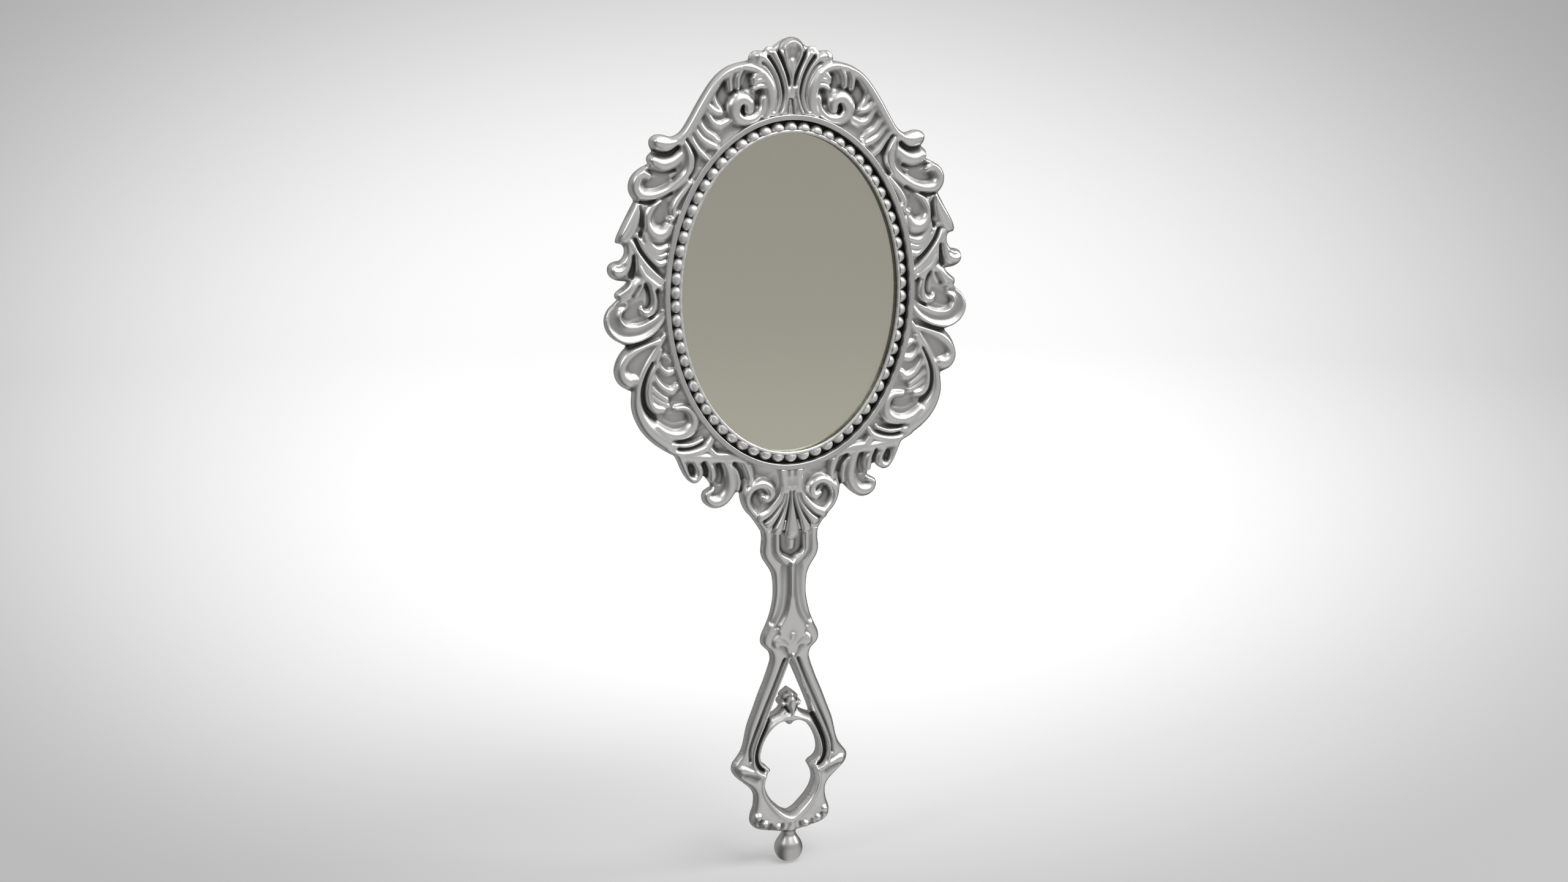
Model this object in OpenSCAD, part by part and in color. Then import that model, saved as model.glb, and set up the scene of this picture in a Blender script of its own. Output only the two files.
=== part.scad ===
// Ornate cast hand mirror with an oval glass, built as separate pieces.
// Frame: +Z up the handle, the glass faces -Y, z = 0 is the foot of the finial, y = 0 is mid-thickness.

/* [Glass] */
// Width of the oval glass
glass_w = 68.74; // [68.4:0.02:68.8]
// Height of the oval glass
glass_h = 94.94; // [94.5:0.02:95]
// Thickness of the glass
glass_t = 1.8; // [1.6:0.1:2.2]
// Height of the middle of the glass above the foot of the finial
glass_z = 176.3; // [176:0.1:176.6]

/* [Castings] */
// Thickness of the head and handle, from back face to the tops of the scrolls
cast_t = 6.5; // [6.3:0.1:7]
// Depth of the flat ground between the scrolls, below their tops
ground_d = 1.65; // [1:0.05:1.8]
// How far the crest and the neck shell stand above the scrolls
applied_h = 0.95; // [0.4:0.05:1.2]
// Width of the handle's tongue, which lies in a pocket in the head
tongue_w = 10; // [8:0.5:11]
// Length of the tongue above the joint line
tongue_l = 14; // [11:0.5:14]
// Thickness of the tongue
tongue_t = 3; // [2.6:0.1:3.1]

/* [Beads and bezels] */
// Number of beads round the glass
bead_count = 66; // [40:2:66]
// Radius of a bead
bead_r = 1.85; // [1.4:0.05:1.85]
// Width of the flat outer band
band_w = 1.6; // [1.2:0.1:1.8]
// Width of the bezel lip that shows in front of the glass
lip_w = 0.8; // [0.6:0.05:0.9]

/* [Back] */
// Thickness of the back cover's sheet
cover_t = 1; // [0.8:0.1:1]
// Height of the raised oval panel on the back cover
panel_h = 0.7; // [0.3:0.1:1]
// Number of screws that hold the back cover
cover_screw_count = 6; // [4:2:8]

/* [Finial] */
// Largest radius of the drop-shaped finial
finial_r = 4.6; // [4:0.1:5]
// Diameter of the stud that holds the finial
stud_d = 2.5; // [2:0.1:2.6]

/* [Hidden] */
$fn = 72;

silver = [0.72, 0.72, 0.71];
steel = [0.6, 0.6, 0.62];
y_back = cast_t / 2;               // back face of the castings
y_top = -cast_t / 2;               // tops of the scrolls
y_ground = y_top + ground_d;       // flat ground between the scrolls
joint_z = 105.8;                   // where the handle meets the head
clear = 0.05;                      // gap between mating pieces
eps = 0.01;
oval_sides = 144;                  // sides of the outline of an oval

// Half axes of the ovals, from the glass outwards.
glass_a = [glass_w / 2, glass_h / 2];
skirt_in = glass_a + [0.08, 0.08];
skirt_out = skirt_in + [0.25, 0.25];
lip_in = skirt_out - [lip_w, lip_w];
bead_out = 0.8;                      // how far outside the bezel's skirt the beads' middles lie
bead_a = skirt_out + [bead_out, bead_out];
band_in = skirt_out + [2.75, 2.75];
band_out = band_in + [band_w, band_w];
cover_a = band_out - [0.75, 0.75];
screw_a = (skirt_out + cover_a) / 2;

// Depths of the glazing stack.
y_glass = -2.45;
lip_y = -3.2;                      // front of the bezel's lip
glass_back = y_glass + glass_t;
channel_y = -0.9;                  // floor of the channel that holds the beads
bead_y = -1.35;                    // depth of the beads' middles
layer_t = 0.1;                     // silvering and paint, each
felt_t = 0.8;
felt_back = glass_back + 2 * layer_t + felt_t;
cover_seat = y_back - cover_t + 0.11;

// ---------- curves ----------
// A smooth curve through points of any length, with n steps between neighbours.
function mid(a, b, c, d, t) = 0.5 * (2 * b + (c - a) * t + (2 * a - 5 * b + 4 * c - d) * t * t
    + (3 * b - a - 3 * c + d) * t * t * t);
function spline(p, n) = let (k = len(p) - 1) [
    for (i = [0 : k - 1], j = [0 : n - 1])
        mid(p[max(i - 1, 0)], p[i], p[i + 1], p[min(i + 2, k)], j / n),
    p[k]];
function outline(runs, n = 3) = [for (r = runs) each spline(r, n)];
function flip(p) = [for (i = [len(p) - 1 : -1 : 0]) [-p[i][0], p[i][1]]];
function normal(p, i) = let (
    d = p[min(i + 1, len(p) - 1)] - p[max(i - 1, 0)],
    l = max(norm([d[0], d[1]]), eps)) [-d[1] / l, d[0] / l];
// A ribbon with rounded ends along points [x, z, half width].
function ribbon(path, n = 3) = let (p = spline(path, n), k = len(p) - 1) concat(
    [for (i = [0 : k]) [p[i][0], p[i][1]] + p[i][2] * normal(p, i)],
    let (u = normal(p, k), v = [u[1], -u[0]])
        [for (a = [30 : 30 : 150]) [p[k][0], p[k][1]] + p[k][2] * (cos(a) * u + sin(a) * v)],
    [for (i = [k : -1 : 0]) [p[i][0], p[i][1]] - p[i][2] * normal(p, i)],
    let (u = -normal(p, 0), v = [u[1], -u[0]])
        [for (a = [30 : 30 : 150]) [p[0][0], p[0][1]] + p[0][2] * (cos(a) * u + sin(a) * v)]);

// ---------- outlines, right half, each run between two sharp corners ----------
head_edge = [
    [[0, 250], [2, 249.7], [3.8, 248.6], [4.9, 247.8]],
    [[5.2, 247.7], [6.6, 247.4], [7.8, 246.6]],
    [[8.2, 246.5], [10.2, 246.2], [11.8, 245.3], [12.8, 243.8]],
    [[13, 243.7], [16, 243.1], [19, 242.1], [22, 240.1], [24.6, 237.3], [27, 233.8], [29, 230.6],
        [31, 227.2], [33, 224.3], [35, 222.9], [36.8, 222.7], [38.8, 223.3], [40.8, 223.2],
        [42.3, 222.1], [42.5, 220.4], [41.7, 218.7]],
    [[41.9, 218.4], [43, 217.4], [43.3, 216.2], [42.9, 215.2]],
    [[43.6, 214.8], [45.6, 213.8], [47.6, 212.1], [48.7, 209.8], [48.6, 207.3], [47.4, 205.2]],
    [[47.3, 204.6], [49, 201.6], [50.9, 198], [52.4, 195], [52.9, 193.4]],
    [[52.5, 193], [51, 192.6], [50.2, 191.2], [50.5, 189.4], [51.7, 188.1], [53.4, 187.8],
        [54.9, 186.9], [55.3, 185.2], [54.5, 183.5], [52.8, 182.5], [50.8, 182.2], [49.6, 182]],
    [[50.3, 181], [51.8, 179.9], [53.1, 178.8], [53.2, 177.6], [52.5, 176.9]],
    [[53.5, 176], [55.3, 174.3], [56.4, 172], [56.4, 169.6], [55.5, 167.4], [53.8, 165.6],
        [51.8, 164.4], [50.2, 163.6]],
    [[50.4, 163], [51.8, 161.5], [53.1, 159.3], [53.8, 156.6], [53.3, 154], [52, 152.1],
        [50.3, 151], [48.7, 150.3]],
    [[48.6, 149.6], [48.8, 147], [48.6, 144.6], [47.8, 142], [46.3, 139], [44.2, 136.3],
        [41.6, 133.9], [38.8, 132], [36.2, 130.5], [35.2, 129], [34.2, 126.6], [33, 124.3],
        [31.5, 122.5], [30, 122], [28.6, 122.7], [27.6, 123.8], [26.7, 123.5], [25.8, 122.4],
        [25, 121.2]],
    [[25, 120.5], [26.2, 119.9], [27.3, 119.1], [27.7, 117.7], [27.3, 116], [26, 114.7],
        [24.2, 114], [22.3, 114.1], [20.4, 115.1], [18.6, 116.7], [17.2, 118.1], [16.3, 118.2]],
    [[15.9, 117.6], [15.6, 115.6], [14.9, 113.6], [13.8, 111.8], [12.5, 110.4], [11.3, 108.8],
        [10.2, 107.2], [9.4, joint_z]]];

handle_edge = [
    [[9.2, joint_z], [8.9, 103.5], [9.1, 101], [9.2, 99], [8.6, 97], [7.3, 95], [6.1, 93],
        [5.5, 91], [5.25, 88], [5.3, 85], [5.8, 82], [6.6, 79], [7.8, 76], [9, 73.5], [9.35, 71.7],
        [9, 70.3], [7.9, 69.1], [6.8, 68], [6.3, 66.4], [6.5, 64.4], [8.4, 59], [10.1, 55],
        [12, 50], [13.9, 45], [15, 40], [15.9, 37.3], [17.2, 35.4], [18.6, 33.5], [18.8, 31.7],
        [17.7, 29.7], [15.3, 27.5], [13, 25.4], [11.9, 23.6], [11.7, 21.6], [12, 19],
        [12.8, 16.7], [13, 14.8], [12.2, 13.1], [10.5, 11.9], [7.8, 11.1], [5, 10.6], [2.7, 10.15],
        [0, 10]]];

// Upper opening, from its point down the side and back along the top of the arch.
spandrel_edge = [
    [[0, 65.2], [0.8, 63.4], [2.4, 59.7], [4.5, 54.7], [6.3, 50.2], [7.3, 47.2]],
    [[7, 46.9], [5.6, 47.5], [4, 48.3], [2.9, 49.2], [2.5, 49.9]],
    [[3.1, 50.6], [3.4, 51.4], [3, 52.2], [2.5, 52.6]],
    [[2.7, 53.2], [2, 54.2], [0.9, 55], [0, 55.7]]];

// Lower opening, from the pendant at its top down the side to its point.
keyhole_edge = [
    [[0, 44.2], [0.7, 44.5], [1, 45], [1.5, 45.3]],
    [[1.5, 45.3], [2.6, 45.5], [4.2, 45], [6.2, 43.5], [8.1, 41], [9.3, 38.2], [9.8, 35.5],
        [9.5, 33.6], [8.5, 32.3], [7.2, 31.5], [6.5, 30.7]],
    [[6.5, 30.5], [7.2, 29.2], [8, 27.4], [8.2, 25.3], [7.5, 23], [6, 20.7], [4, 18.6], [2, 16.8],
        [0, 15.9]]];

// ---------- scrollwork, right half: [x, z, half width] ----------
head_scrolls = [
    // arch and its inner scroll
    [[31.5, 224.6, 1.8], [29, 228.9, 1.9], [26.4, 233.2, 1.9], [23.6, 237.2, 1.6],
        [20, 240.5, 1.2], [15.5, 242.3, 1.1], [11.4, 241.9, 1.2], [8, 239.6, 1.7],
        [6.2, 236, 1.9], [5.9, 232, 1.9], [8, 228.4, 1.6], [12, 226.4, 1.3], [15.8, 226.7, 1.2],
        [18, 229.2, 1.2], [17.5, 232.2, 1.3], [14.6, 233.8, 1.5], [12, 232.4, 1.2],
        [12, 230, 0.9], [14, 229.2, 0.7]],
    [[8.5, 237.7, 1.4], [10.7, 237.6, 1]],
    [[16.2, 240.6, 0.9], [16, 237, 0.7]],
    [[19.2, 239.6, 0.9], [18.4, 236.3, 0.7]],
    [[25.5, 233, 1], [24.2, 230.3, 0.9], [21.8, 228.8, 0.8]],
    [[27, 231, 1.1], [25.2, 227.4, 1.1], [22.4, 225.8, 1.1], [19.6, 226.8, 0.9]],
    [[28.2, 228.6, 1], [27.2, 225.6, 1], [25.4, 223.3, 1], [23.2, 221.8, 0.8]],
    [[29.8, 225.4, 1], [28.3, 222.6, 1], [26, 220.5, 1], [23.4, 219.4, 0.8]],
    [[31, 222.6, 1], [29.3, 219.2, 0.9], [27.2, 217.3, 0.9], [25.6, 216.3, 0.7]],
    // horn, lobe and shoulder scroll
    [[32, 223.4, 1.5], [35, 221.4, 1.6], [37.5, 220.7, 1.8], [40.4, 221.2, 1.6]],
    [[33.2, 218, 1.8], [36, 216, 1.4], [38.8, 214.9, 1.3], [41.9, 216.2, 1.1]],
    [[32.4, 220.5, 1.4], [32, 217, 1.9], [32, 213.4, 1.6], [34.8, 210, 1.2], [38.4, 207.8, 1.1],
        [42.2, 206.7, 1.3], [45.4, 207.2, 1.6], [46.6, 209.5, 1.7], [45.4, 212, 1.5]],
    [[35.5, 209.2, 1], [39, 206.8, 1], [41.8, 204, 0.9], [43.4, 201.2, 0.9], [43.6, 198, 1.1],
        [40.8, 195.2, 1.6], [37.6, 196.6, 1.2]],
    [[31.2, 209.3, 0.6], [33.4, 207.2, 0.8], [35.4, 204.9, 0.8], [36, 202.4, 0.8],
        [35.1, 200.9, 0.7]],
    // spike, stem and ear curl
    [[45.4, 204, 0.8], [47.6, 201, 1.6], [49.4, 197.8, 2], [51.4, 194.8, 0.8]],
    [[49.8, 193.9, 0.9], [47.4, 194.4, 0.9], [45.2, 192.7, 1], [42.6, 189.2, 1], [39.4, 186.6, 0.8]],
    [[43.6, 192.8, 0.8], [41.4, 191.2, 1], [38.9, 190.8, 1]],
    [[49, 192.2, 0.8], [49.3, 189.2, 1], [50.6, 186.8, 1.4], [53.2, 185.5, 1.7]],
    [[48.3, 190.4, 0.6], [46, 186.6, 1.4], [44.6, 184.4, 2], [41.8, 180.6, 1.4],
        [41.8, 177, 1.2], [43, 174.4, 1.1], [44.5, 173.3, 0.8]],
    [[46, 184, 1.6], [48.2, 181, 1.4], [50.8, 179, 1], [52, 178.4, 0.7]],
    [[45.3, 180.6, 0.9], [46.2, 177.8, 1], [49, 177.3, 1], [51.4, 178, 0.7]],
    // side scroll
    [[39.6, 171.4, 1.4], [41.8, 168.8, 1.6], [45, 167.1, 1.8], [48.8, 166.4, 1.9],
        [52.3, 167.4, 1.9], [54.3, 169.9, 1.9], [54.6, 172.6, 1.8], [53.2, 175, 1.4],
        [51.4, 175.6, 0.9]],
    [[41.8, 164.5, 0.7], [45, 163.2, 0.9], [48.4, 161.4, 1.2], [51, 158.8, 1.6],
        [51.8, 156, 1.8], [50.4, 153.8, 1.9]],
    // long stem that closes the lower edge, with its leaves
    [[39.6, 165, 0.8], [41.4, 161.4, 0.9], [43.7, 157.5, 1], [45.7, 153.6, 1.1],
        [46.9, 149.6, 1.3], [47.1, 145.6, 1.4], [45.9, 141.6, 1.7], [43.5, 138, 1.9],
        [40.4, 135.2, 1.9], [36.8, 132.8, 1.6], [33, 131.7, 1.2], [29.4, 132.2, 1],
        [26.8, 134, 0.9]],
    [[41.3, 160, 0.8], [42.8, 156.4, 1], [43.6, 152.4, 1.2], [43.4, 148.8, 1.3],
        [41.6, 145.9, 1.2], [38, 145.1, 0.9]],
    [[41.6, 157.6, 0.8], [40, 155.7, 0.9], [37.6, 155, 0.8]],
    [[42.8, 153.8, 0.9], [40.6, 151.3, 1], [37.8, 150.2, 1], [36, 150.6, 0.8]],
    [[34.8, 144.9, 0.7], [31.6, 143.8, 1.1], [30.3, 140.8, 1.4], [31.8, 138, 1.5],
        [35.2, 137.2, 1.5], [38.8, 138.3, 1.4], [40.9, 140.8, 0.9]],
    [[35, 130.6, 1.2], [30, 129.5, 1.4], [25, 129.2, 1.4], [20, 128.9, 1.1], [15.6, 127.6, 1.1],
        [13.2, 125, 1], [12.9, 122.8, 0.7]],
    // drops, hook and volute under the glass
    [[29.8, 128.6, 0.9], [28.9, 125.4, 0.9], [30.2, 123, 0.9], [32.2, 124.2, 0.9],
        [33, 127.2, 0.9]],
    [[26, 128.4, 1], [25, 125.8, 1], [25.2, 123.2, 0.8]],
    [[22.6, 127.8, 1], [20.4, 124.8, 1.3], [19.7, 121.4, 1.6], [20.6, 118.2, 1.8],
        [23, 115.9, 1.6], [25.8, 116.4, 1.2], [26.5, 118.4, 0.8]],
    [[7.9, 115.6, 0.7], [6.7, 117.6, 1.1], [7.6, 120, 1.3], [10, 120.6, 1.2], [12.8, 119.4, 1.1],
        [14.2, 116.6, 1], [13.8, 113.6, 1], [11.8, 111.4, 0.8]],
    [[4.6, 123.8, 0.6], [3.9, 119.4, 0.8], [5, 114.6, 0.9], [8, 111.6, 1]]];

crest_ribs = [
    [[0, 230.4, 1], [0, 236, 1.1], [0, 241, 1.7], [0, 245, 2.7], [0, 246.8, 3]],
    [[2.4, 229.6, 1.2], [2.1, 234, 1.2], [2.6, 238, 1.1], [4.1, 242, 1.1], [5.8, 245.5, 1.2]],
    [[4.3, 229.6, 0.8], [3.4, 233.4, 0.9], [4, 237.5, 0.9], [5.7, 241.4, 1], [7.8, 244, 1.1],
        [10.3, 244.9, 1.1]]];

shell_ribs = [
    [[0, 123, 0.9], [0, 118, 0.9], [0, 113, 1.1], [0, 109, 1.8], [0, 105.3, 2.5]],
    [[2.2, 123.4, 1.2], [1.5, 118, 1], [2, 113, 1.1], [3.3, 109.4, 1.6], [4.6, 106.4, 1.9]],
    [[1.8, 119, 0.8], [2.8, 115, 1], [4.8, 111.5, 1.4], [7.3, 108.6, 1.7]],
    [[2.6, 121.5, 0.8], [3.2, 117, 0.9], [4.8, 113.6, 1.1], [7.1, 111.4, 1.3], [9.7, 110.2, 1.5]]];

handle_ridges = [
    // border of the large opening
    [[0.7, 66.4, 0.8], [2.2, 62.4, 0.75], [4.2, 57.6, 0.75], [6.3, 52.6, 0.75],
        [8.5, 47.4, 0.75], [10.4, 42.8, 0.75], [11.8, 38.8, 0.75], [12.1, 34.6, 0.75],
        [11.1, 31.3, 0.75], [9, 30.1, 0.75]],
    // border of the lower part of the keyhole
    [[8.4, 29.4, 0.7], [8.8, 27, 0.7], [8.6, 24.4, 0.7], [7.2, 21.4, 0.7], [4.8, 18.2, 0.7],
        [2.2, 16, 0.7], [0, 15, 0.7]],
    // arch over the keyhole
    [[0, 46.9, 1.2], [3, 46.6, 1], [6, 44.8, 0.9], [8.6, 41.4, 0.8], [10.1, 37.4, 0.7],
        [10.2, 33.8, 0.7], [8.9, 31.9, 0.6]],
    // framed panel under the shell and its stem
    [[4.6, 105.4, 0.55], [4.5, 100.6, 0.55], [4.2, 98.6, 0.55], [1.4, 96.2, 0.6], [0, 95.2, 0.7]],
    [[0, 96, 0.8], [0, 92, 0.8], [0, 86, 0.9], [0, 81, 1.6], [0, 77, 2.9], [0, 73.6, 3.8]],
    [[0, 105, 1.2], [0, 101, 0.9]],
    [[0, 73, 3.2], [3.4, 72, 1.4], [5.6, 70.9, 0.9]],
    [[0, 71.4, 2], [0, 68.4, 1.2]],
    // knuckles
    [[13.2, 30.9, 0.9], [15.2, 31.8, 1], [16.8, 32, 0.9]]];

// ---------- 2D helpers ----------
module half_polygon(points) {
    polygon(concat(points, flip(points)));
}
module both_sides() {
    children();
    mirror([1, 0]) children();
}
// offset() with a tiny step merges the ribbons into one clean outline.
module ribbons(paths, grow = 0.01) {
    offset(delta = grow) both_sides() for (p = paths) polygon(ribbon(p));
}
module oval(axes) {
    polygon([for (i = [0 : oval_sides - 1]) let (a = 360 * i / oval_sides)
        [axes[0] * cos(a), axes[1] * sin(a)]]);
}
// A flat slab between two depths, drawn in X and Z.
module slab(y_front, y_rear) {
    translate([0, y_rear, 0]) rotate([90, 0, 0]) linear_extrude(y_rear - y_front) children();
}
module oval_slab(axes, y_front, y_rear) {
    translate([0, 0, glass_z]) slab(y_front, y_rear) oval(axes);
}
module oval_ring(outer, inner, y_front, y_rear) {
    translate([0, 0, glass_z]) slab(y_front, y_rear) difference() {
        oval(outer);
        oval(inner);
    }
}
// A round bar along Y.
module bar_y(x, z, r, y_front, y_rear) {
    translate([x, y_rear, z]) rotate([90, 0, 0]) cylinder(h = y_rear - y_front, r = r);
}
// Cone that narrows towards the front, for a countersunk head with its flat on y_rear.
module countersink(x, z, r_head, r_shank, y_rear) {
    translate([x, y_rear, z]) rotate([90, 0, 0]) cylinder(h = r_head - r_shank, r1 = r_head, r2 = r_shank);
}

// ---------- fasteners ----------
pin_r = 0.6;
crest_pin_x = 2.3;
crest_pin_z = 238;
shell_pin_x = 3.4;
shell_pin_z = 113;
joint_screw_z = [109.4, 116.2];
joint_screw_r = 1;
joint_head_r = 1.9;
cover_screw_r = 0.8;
cover_head_r = 1.45;
slot_w = 0.4;
slot_d = 0.35;
function cover_screw_at(i) = let (a = 360 * (i + 0.5) / cover_screw_count)
    [screw_a[0] * cos(a), glass_z + screw_a[1] * sin(a)];

module slotted_screw(x, z, r_head, r_shank, y_rear, y_tip) {
    difference() {
        union() {
            countersink(x, z, r_head, r_shank, y_rear);
            bar_y(x, z, r_shank, y_tip, y_rear - 0.1);
        }
        translate([x - 2 * r_head, y_rear - slot_d, z - slot_w / 2])
            cube([4 * r_head, 2 * slot_d, slot_w]);
    }
}
module screw_hole(x, z, r_head, r_shank, y_rear) {
    countersink(x, z, r_head + clear, r_shank + clear, y_rear + eps);
    bar_y(x, z, r_shank + clear, y_rear - 8, y_rear);
}
module pin_pair(x, z, r, y_front, y_rear) {
    for (side = [-1, 1]) bar_y(side * x, z, r, y_front, y_rear);
}

// ---------- pieces ----------
module head_casting() color(silver) difference() {
    union() {
        slab(y_ground, y_back) half_polygon(outline(head_edge));
        slab(y_top, y_ground + 0.4) intersection() {
            half_polygon(outline(head_edge));
            ribbons(head_scrolls);
        }
    }
    oval_slab(skirt_out + [clear, clear], y_top - 2, y_back + 1);
    oval_slab(band_in, y_top - 2, channel_y);
    oval_slab(band_out + [clear, clear], y_top - 2, channel_y - 0.3);
    oval_slab(cover_a + [clear, clear], cover_seat, y_back + 1);
    translate([-tongue_w / 2 - clear, y_back - tongue_t - clear, joint_z - 1])
        cube([tongue_w + 2 * clear, tongue_t + 1, tongue_l + 1 + clear]);
    for (z = joint_screw_z) bar_y(0, z, joint_screw_r + eps, y_ground + 0.4, y_back);
    for (i = [0 : cover_screw_count - 1])
        bar_y(cover_screw_at(i)[0], cover_screw_at(i)[1], cover_screw_r + eps, channel_y + 0.6, y_back);
    pin_pair(crest_pin_x, crest_pin_z, pin_r + eps, y_top - 2, y_ground + 2.3);
    pin_pair(shell_pin_x, shell_pin_z, pin_r + eps, y_top - 2, y_ground + 1.6);
    // room for the crest and the shell, which sit on the ground
    slab(y_top - 2, y_ground) crest_shape(0.06);
    slab(y_top - 2, y_ground) shell_shape(0.06);
}

module crest_shape(grow = 0.01) {
    ribbons(crest_ribs, grow);
}
module crest_palmette() color(silver) difference() {
    slab(y_top - applied_h, y_ground) crest_shape();
    oval_slab(band_out + [0.1, 0.1], y_top - 3, y_back);
    pin_pair(crest_pin_x, crest_pin_z, pin_r + eps, y_ground - 1.2, y_back);
}
module crest_pins() color(steel)
    pin_pair(crest_pin_x, crest_pin_z, pin_r, y_ground - 1.15, y_ground + 2.2);

module shell_shape(grow = 0.01) {
    ribbons(shell_ribs, grow);
}
module neck_shell() color(silver) difference() {
    slab(y_top - applied_h, y_ground) shell_shape();
    oval_slab(band_out + [0.1, 0.1], y_top - 3, y_back);
    pin_pair(shell_pin_x, shell_pin_z, pin_r + eps, y_ground - 1.2, y_back);
}
module shell_pins() color(steel)
    pin_pair(shell_pin_x, shell_pin_z, pin_r, y_ground - 1.15, y_ground + 1.5);

module rim_band() color(silver)
    oval_ring(band_out, band_in, y_top - 0.4, channel_y - 0.3);

// Arc length round an oval against its angle, so that the beads are evenly spaced.
arc_steps = 360;
function arc_step(i) = norm([bead_a[0] * (cos(i + 1) - cos(i)), bead_a[1] * (sin(i + 1) - sin(i))]);
arc_table = [for (i = 0, s = 0; i <= arc_steps; s = s + arc_step(i), i = i + 1) [s, i]];
bead_pitch = arc_table[arc_steps][0] / bead_count;

// One bead with its -X side cut off flat where the bezel's skirt is, and flat at the back.
module bead() intersection() {
    rotate([90, 0, 0]) sphere(r = bead_r);
    translate([clear - bead_out, -2 * bead_r, -2 * bead_r])
        cube([4 * bead_r, 2 * bead_r + channel_y - 0.1 - bead_y, 4 * bead_r]);
}
module bead_ring() color(silver) {
    oval_ring(band_in - [clear, clear], skirt_out + [clear, clear], channel_y - 0.4, channel_y);
    for (i = [0 : bead_count - 1])
        let (a = 90 + lookup((i * bead_pitch) % arc_table[arc_steps][0], arc_table))
            translate([bead_a[0] * cos(a), bead_y, glass_z + bead_a[1] * sin(a)])
                rotate([0, -atan2(sin(a) / bead_a[1], cos(a) / bead_a[0]), 0]) bead();
}

module glass_bezel() color(silver) {
    oval_ring(skirt_out, lip_in, lip_y, y_glass - clear);
    oval_ring(skirt_out, skirt_in, y_glass - clear - 0.1, channel_y);
}
module edge_gasket() color([0.2, 0.2, 0.2])
    oval_ring(skirt_out - [0.02, 0.02], glass_a + [0.02, 0.02], channel_y + clear, felt_back);

module mirror_glass() color([0.75, 0.85, 0.83])
    oval_slab(glass_a, y_glass, glass_back);
module mirror_silvering() color([0.9, 0.9, 0.92])
    oval_slab(glass_a - [0.05, 0.05], glass_back, glass_back + layer_t);
module mirror_backing_paint() color([0.35, 0.38, 0.4])
    oval_slab(glass_a - [0.05, 0.05], glass_back + layer_t, glass_back + 2 * layer_t);
module cushion_felt() color([0.25, 0.2, 0.3])
    oval_slab(glass_a, glass_back + 2 * layer_t, felt_back);
module backing_board() color([0.6, 0.5, 0.38])
    oval_slab(glass_a, felt_back, cover_seat - 0.02);

module back_cover() color(silver) difference() {
    union() {
        oval_slab(cover_a, cover_seat, cover_seat + cover_t);
        oval_slab(cover_a - [5, 5], cover_seat, cover_seat + cover_t + panel_h);
    }
    oval_slab(cover_a - [6, 6], cover_seat - 1, cover_seat + panel_h);
    for (i = [0 : cover_screw_count - 1])
        screw_hole(cover_screw_at(i)[0], cover_screw_at(i)[1], cover_head_r, cover_screw_r,
            cover_seat + cover_t);
}
module cover_screws() color(steel) for (i = [0 : cover_screw_count - 1])
    slotted_screw(cover_screw_at(i)[0], cover_screw_at(i)[1], cover_head_r, cover_screw_r,
        cover_seat + cover_t, channel_y + 0.7);

module handle_casting() color(silver) difference() {
    union() {
        slab(y_ground, y_back) handle_shape();
        slab(y_top, y_ground + 0.4) intersection() {
            handle_shape();
            difference() {
                ribbons(handle_ridges);
                shell_shape(0.06);
            }
        }
        translate([-tongue_w / 2, y_back - tongue_t, joint_z - 2])
            cube([tongue_w, tongue_t, tongue_l + 2]);
        bud();
    }
    for (z = joint_screw_z) screw_hole(0, z, joint_head_r, joint_screw_r, y_back);
    translate([0, 0, 8]) cylinder(h = 5.8, r = stud_d / 2 + eps);
}
module handle_shape() {
    difference() {
        half_polygon(outline(handle_edge));
        half_polygon(outline(spandrel_edge));
        half_polygon(outline(keyhole_edge));
        translate([0, joint_z + 0.45]) square([30, 1], center = true);
    }
}
// Pointed leaf bud that stands on the arch, as thick as the casting.
module bud() {
    slab(y_top + 0.5, y_back - 0.5) polygon([for (a = [0 : 20 : 340])
        [3.3 * (1 - 0.12 * cos(4 * a)) * cos(a), 51.6 + 3.9 * (1 - 0.05 * cos(4 * a)) * sin(a)]]);
}
module joint_screws() color(steel) for (z = joint_screw_z)
    slotted_screw(0, z, joint_head_r, joint_screw_r, y_back, y_ground + 0.5);

finial_profile = [[0, 0], [1.9, 0.25], [3.5, 1.2], [4.35, 2.6], [finial_r, 4.2], [4.2, 6],
    [3.2, 7.7], [2.5, 8.9], [2.3, 9.9]];
module finial() color(silver) difference() {
    rotate_extrude() polygon(concat(spline(finial_profile, 4), [[0, 9.9]]));
    translate([0, 0, 4.2]) cylinder(h = 7, r = stud_d / 2 + eps);
}
module finial_stud() color(steel)
    translate([0, 0, 4.3]) cylinder(h = 9.3, r = stud_d / 2);

head_casting();
crest_palmette();
crest_pins();
neck_shell();
shell_pins();
rim_band();
bead_ring();
glass_bezel();
edge_gasket();
mirror_glass();
mirror_silvering();
mirror_backing_paint();
cushion_felt();
backing_board();
back_cover();
cover_screws();
handle_casting();
joint_screws();
finial();
finial_stud();
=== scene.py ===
"""An ornate cast hand mirror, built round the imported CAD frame: x right, -y the way the glass faces, z up."""
import math

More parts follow.
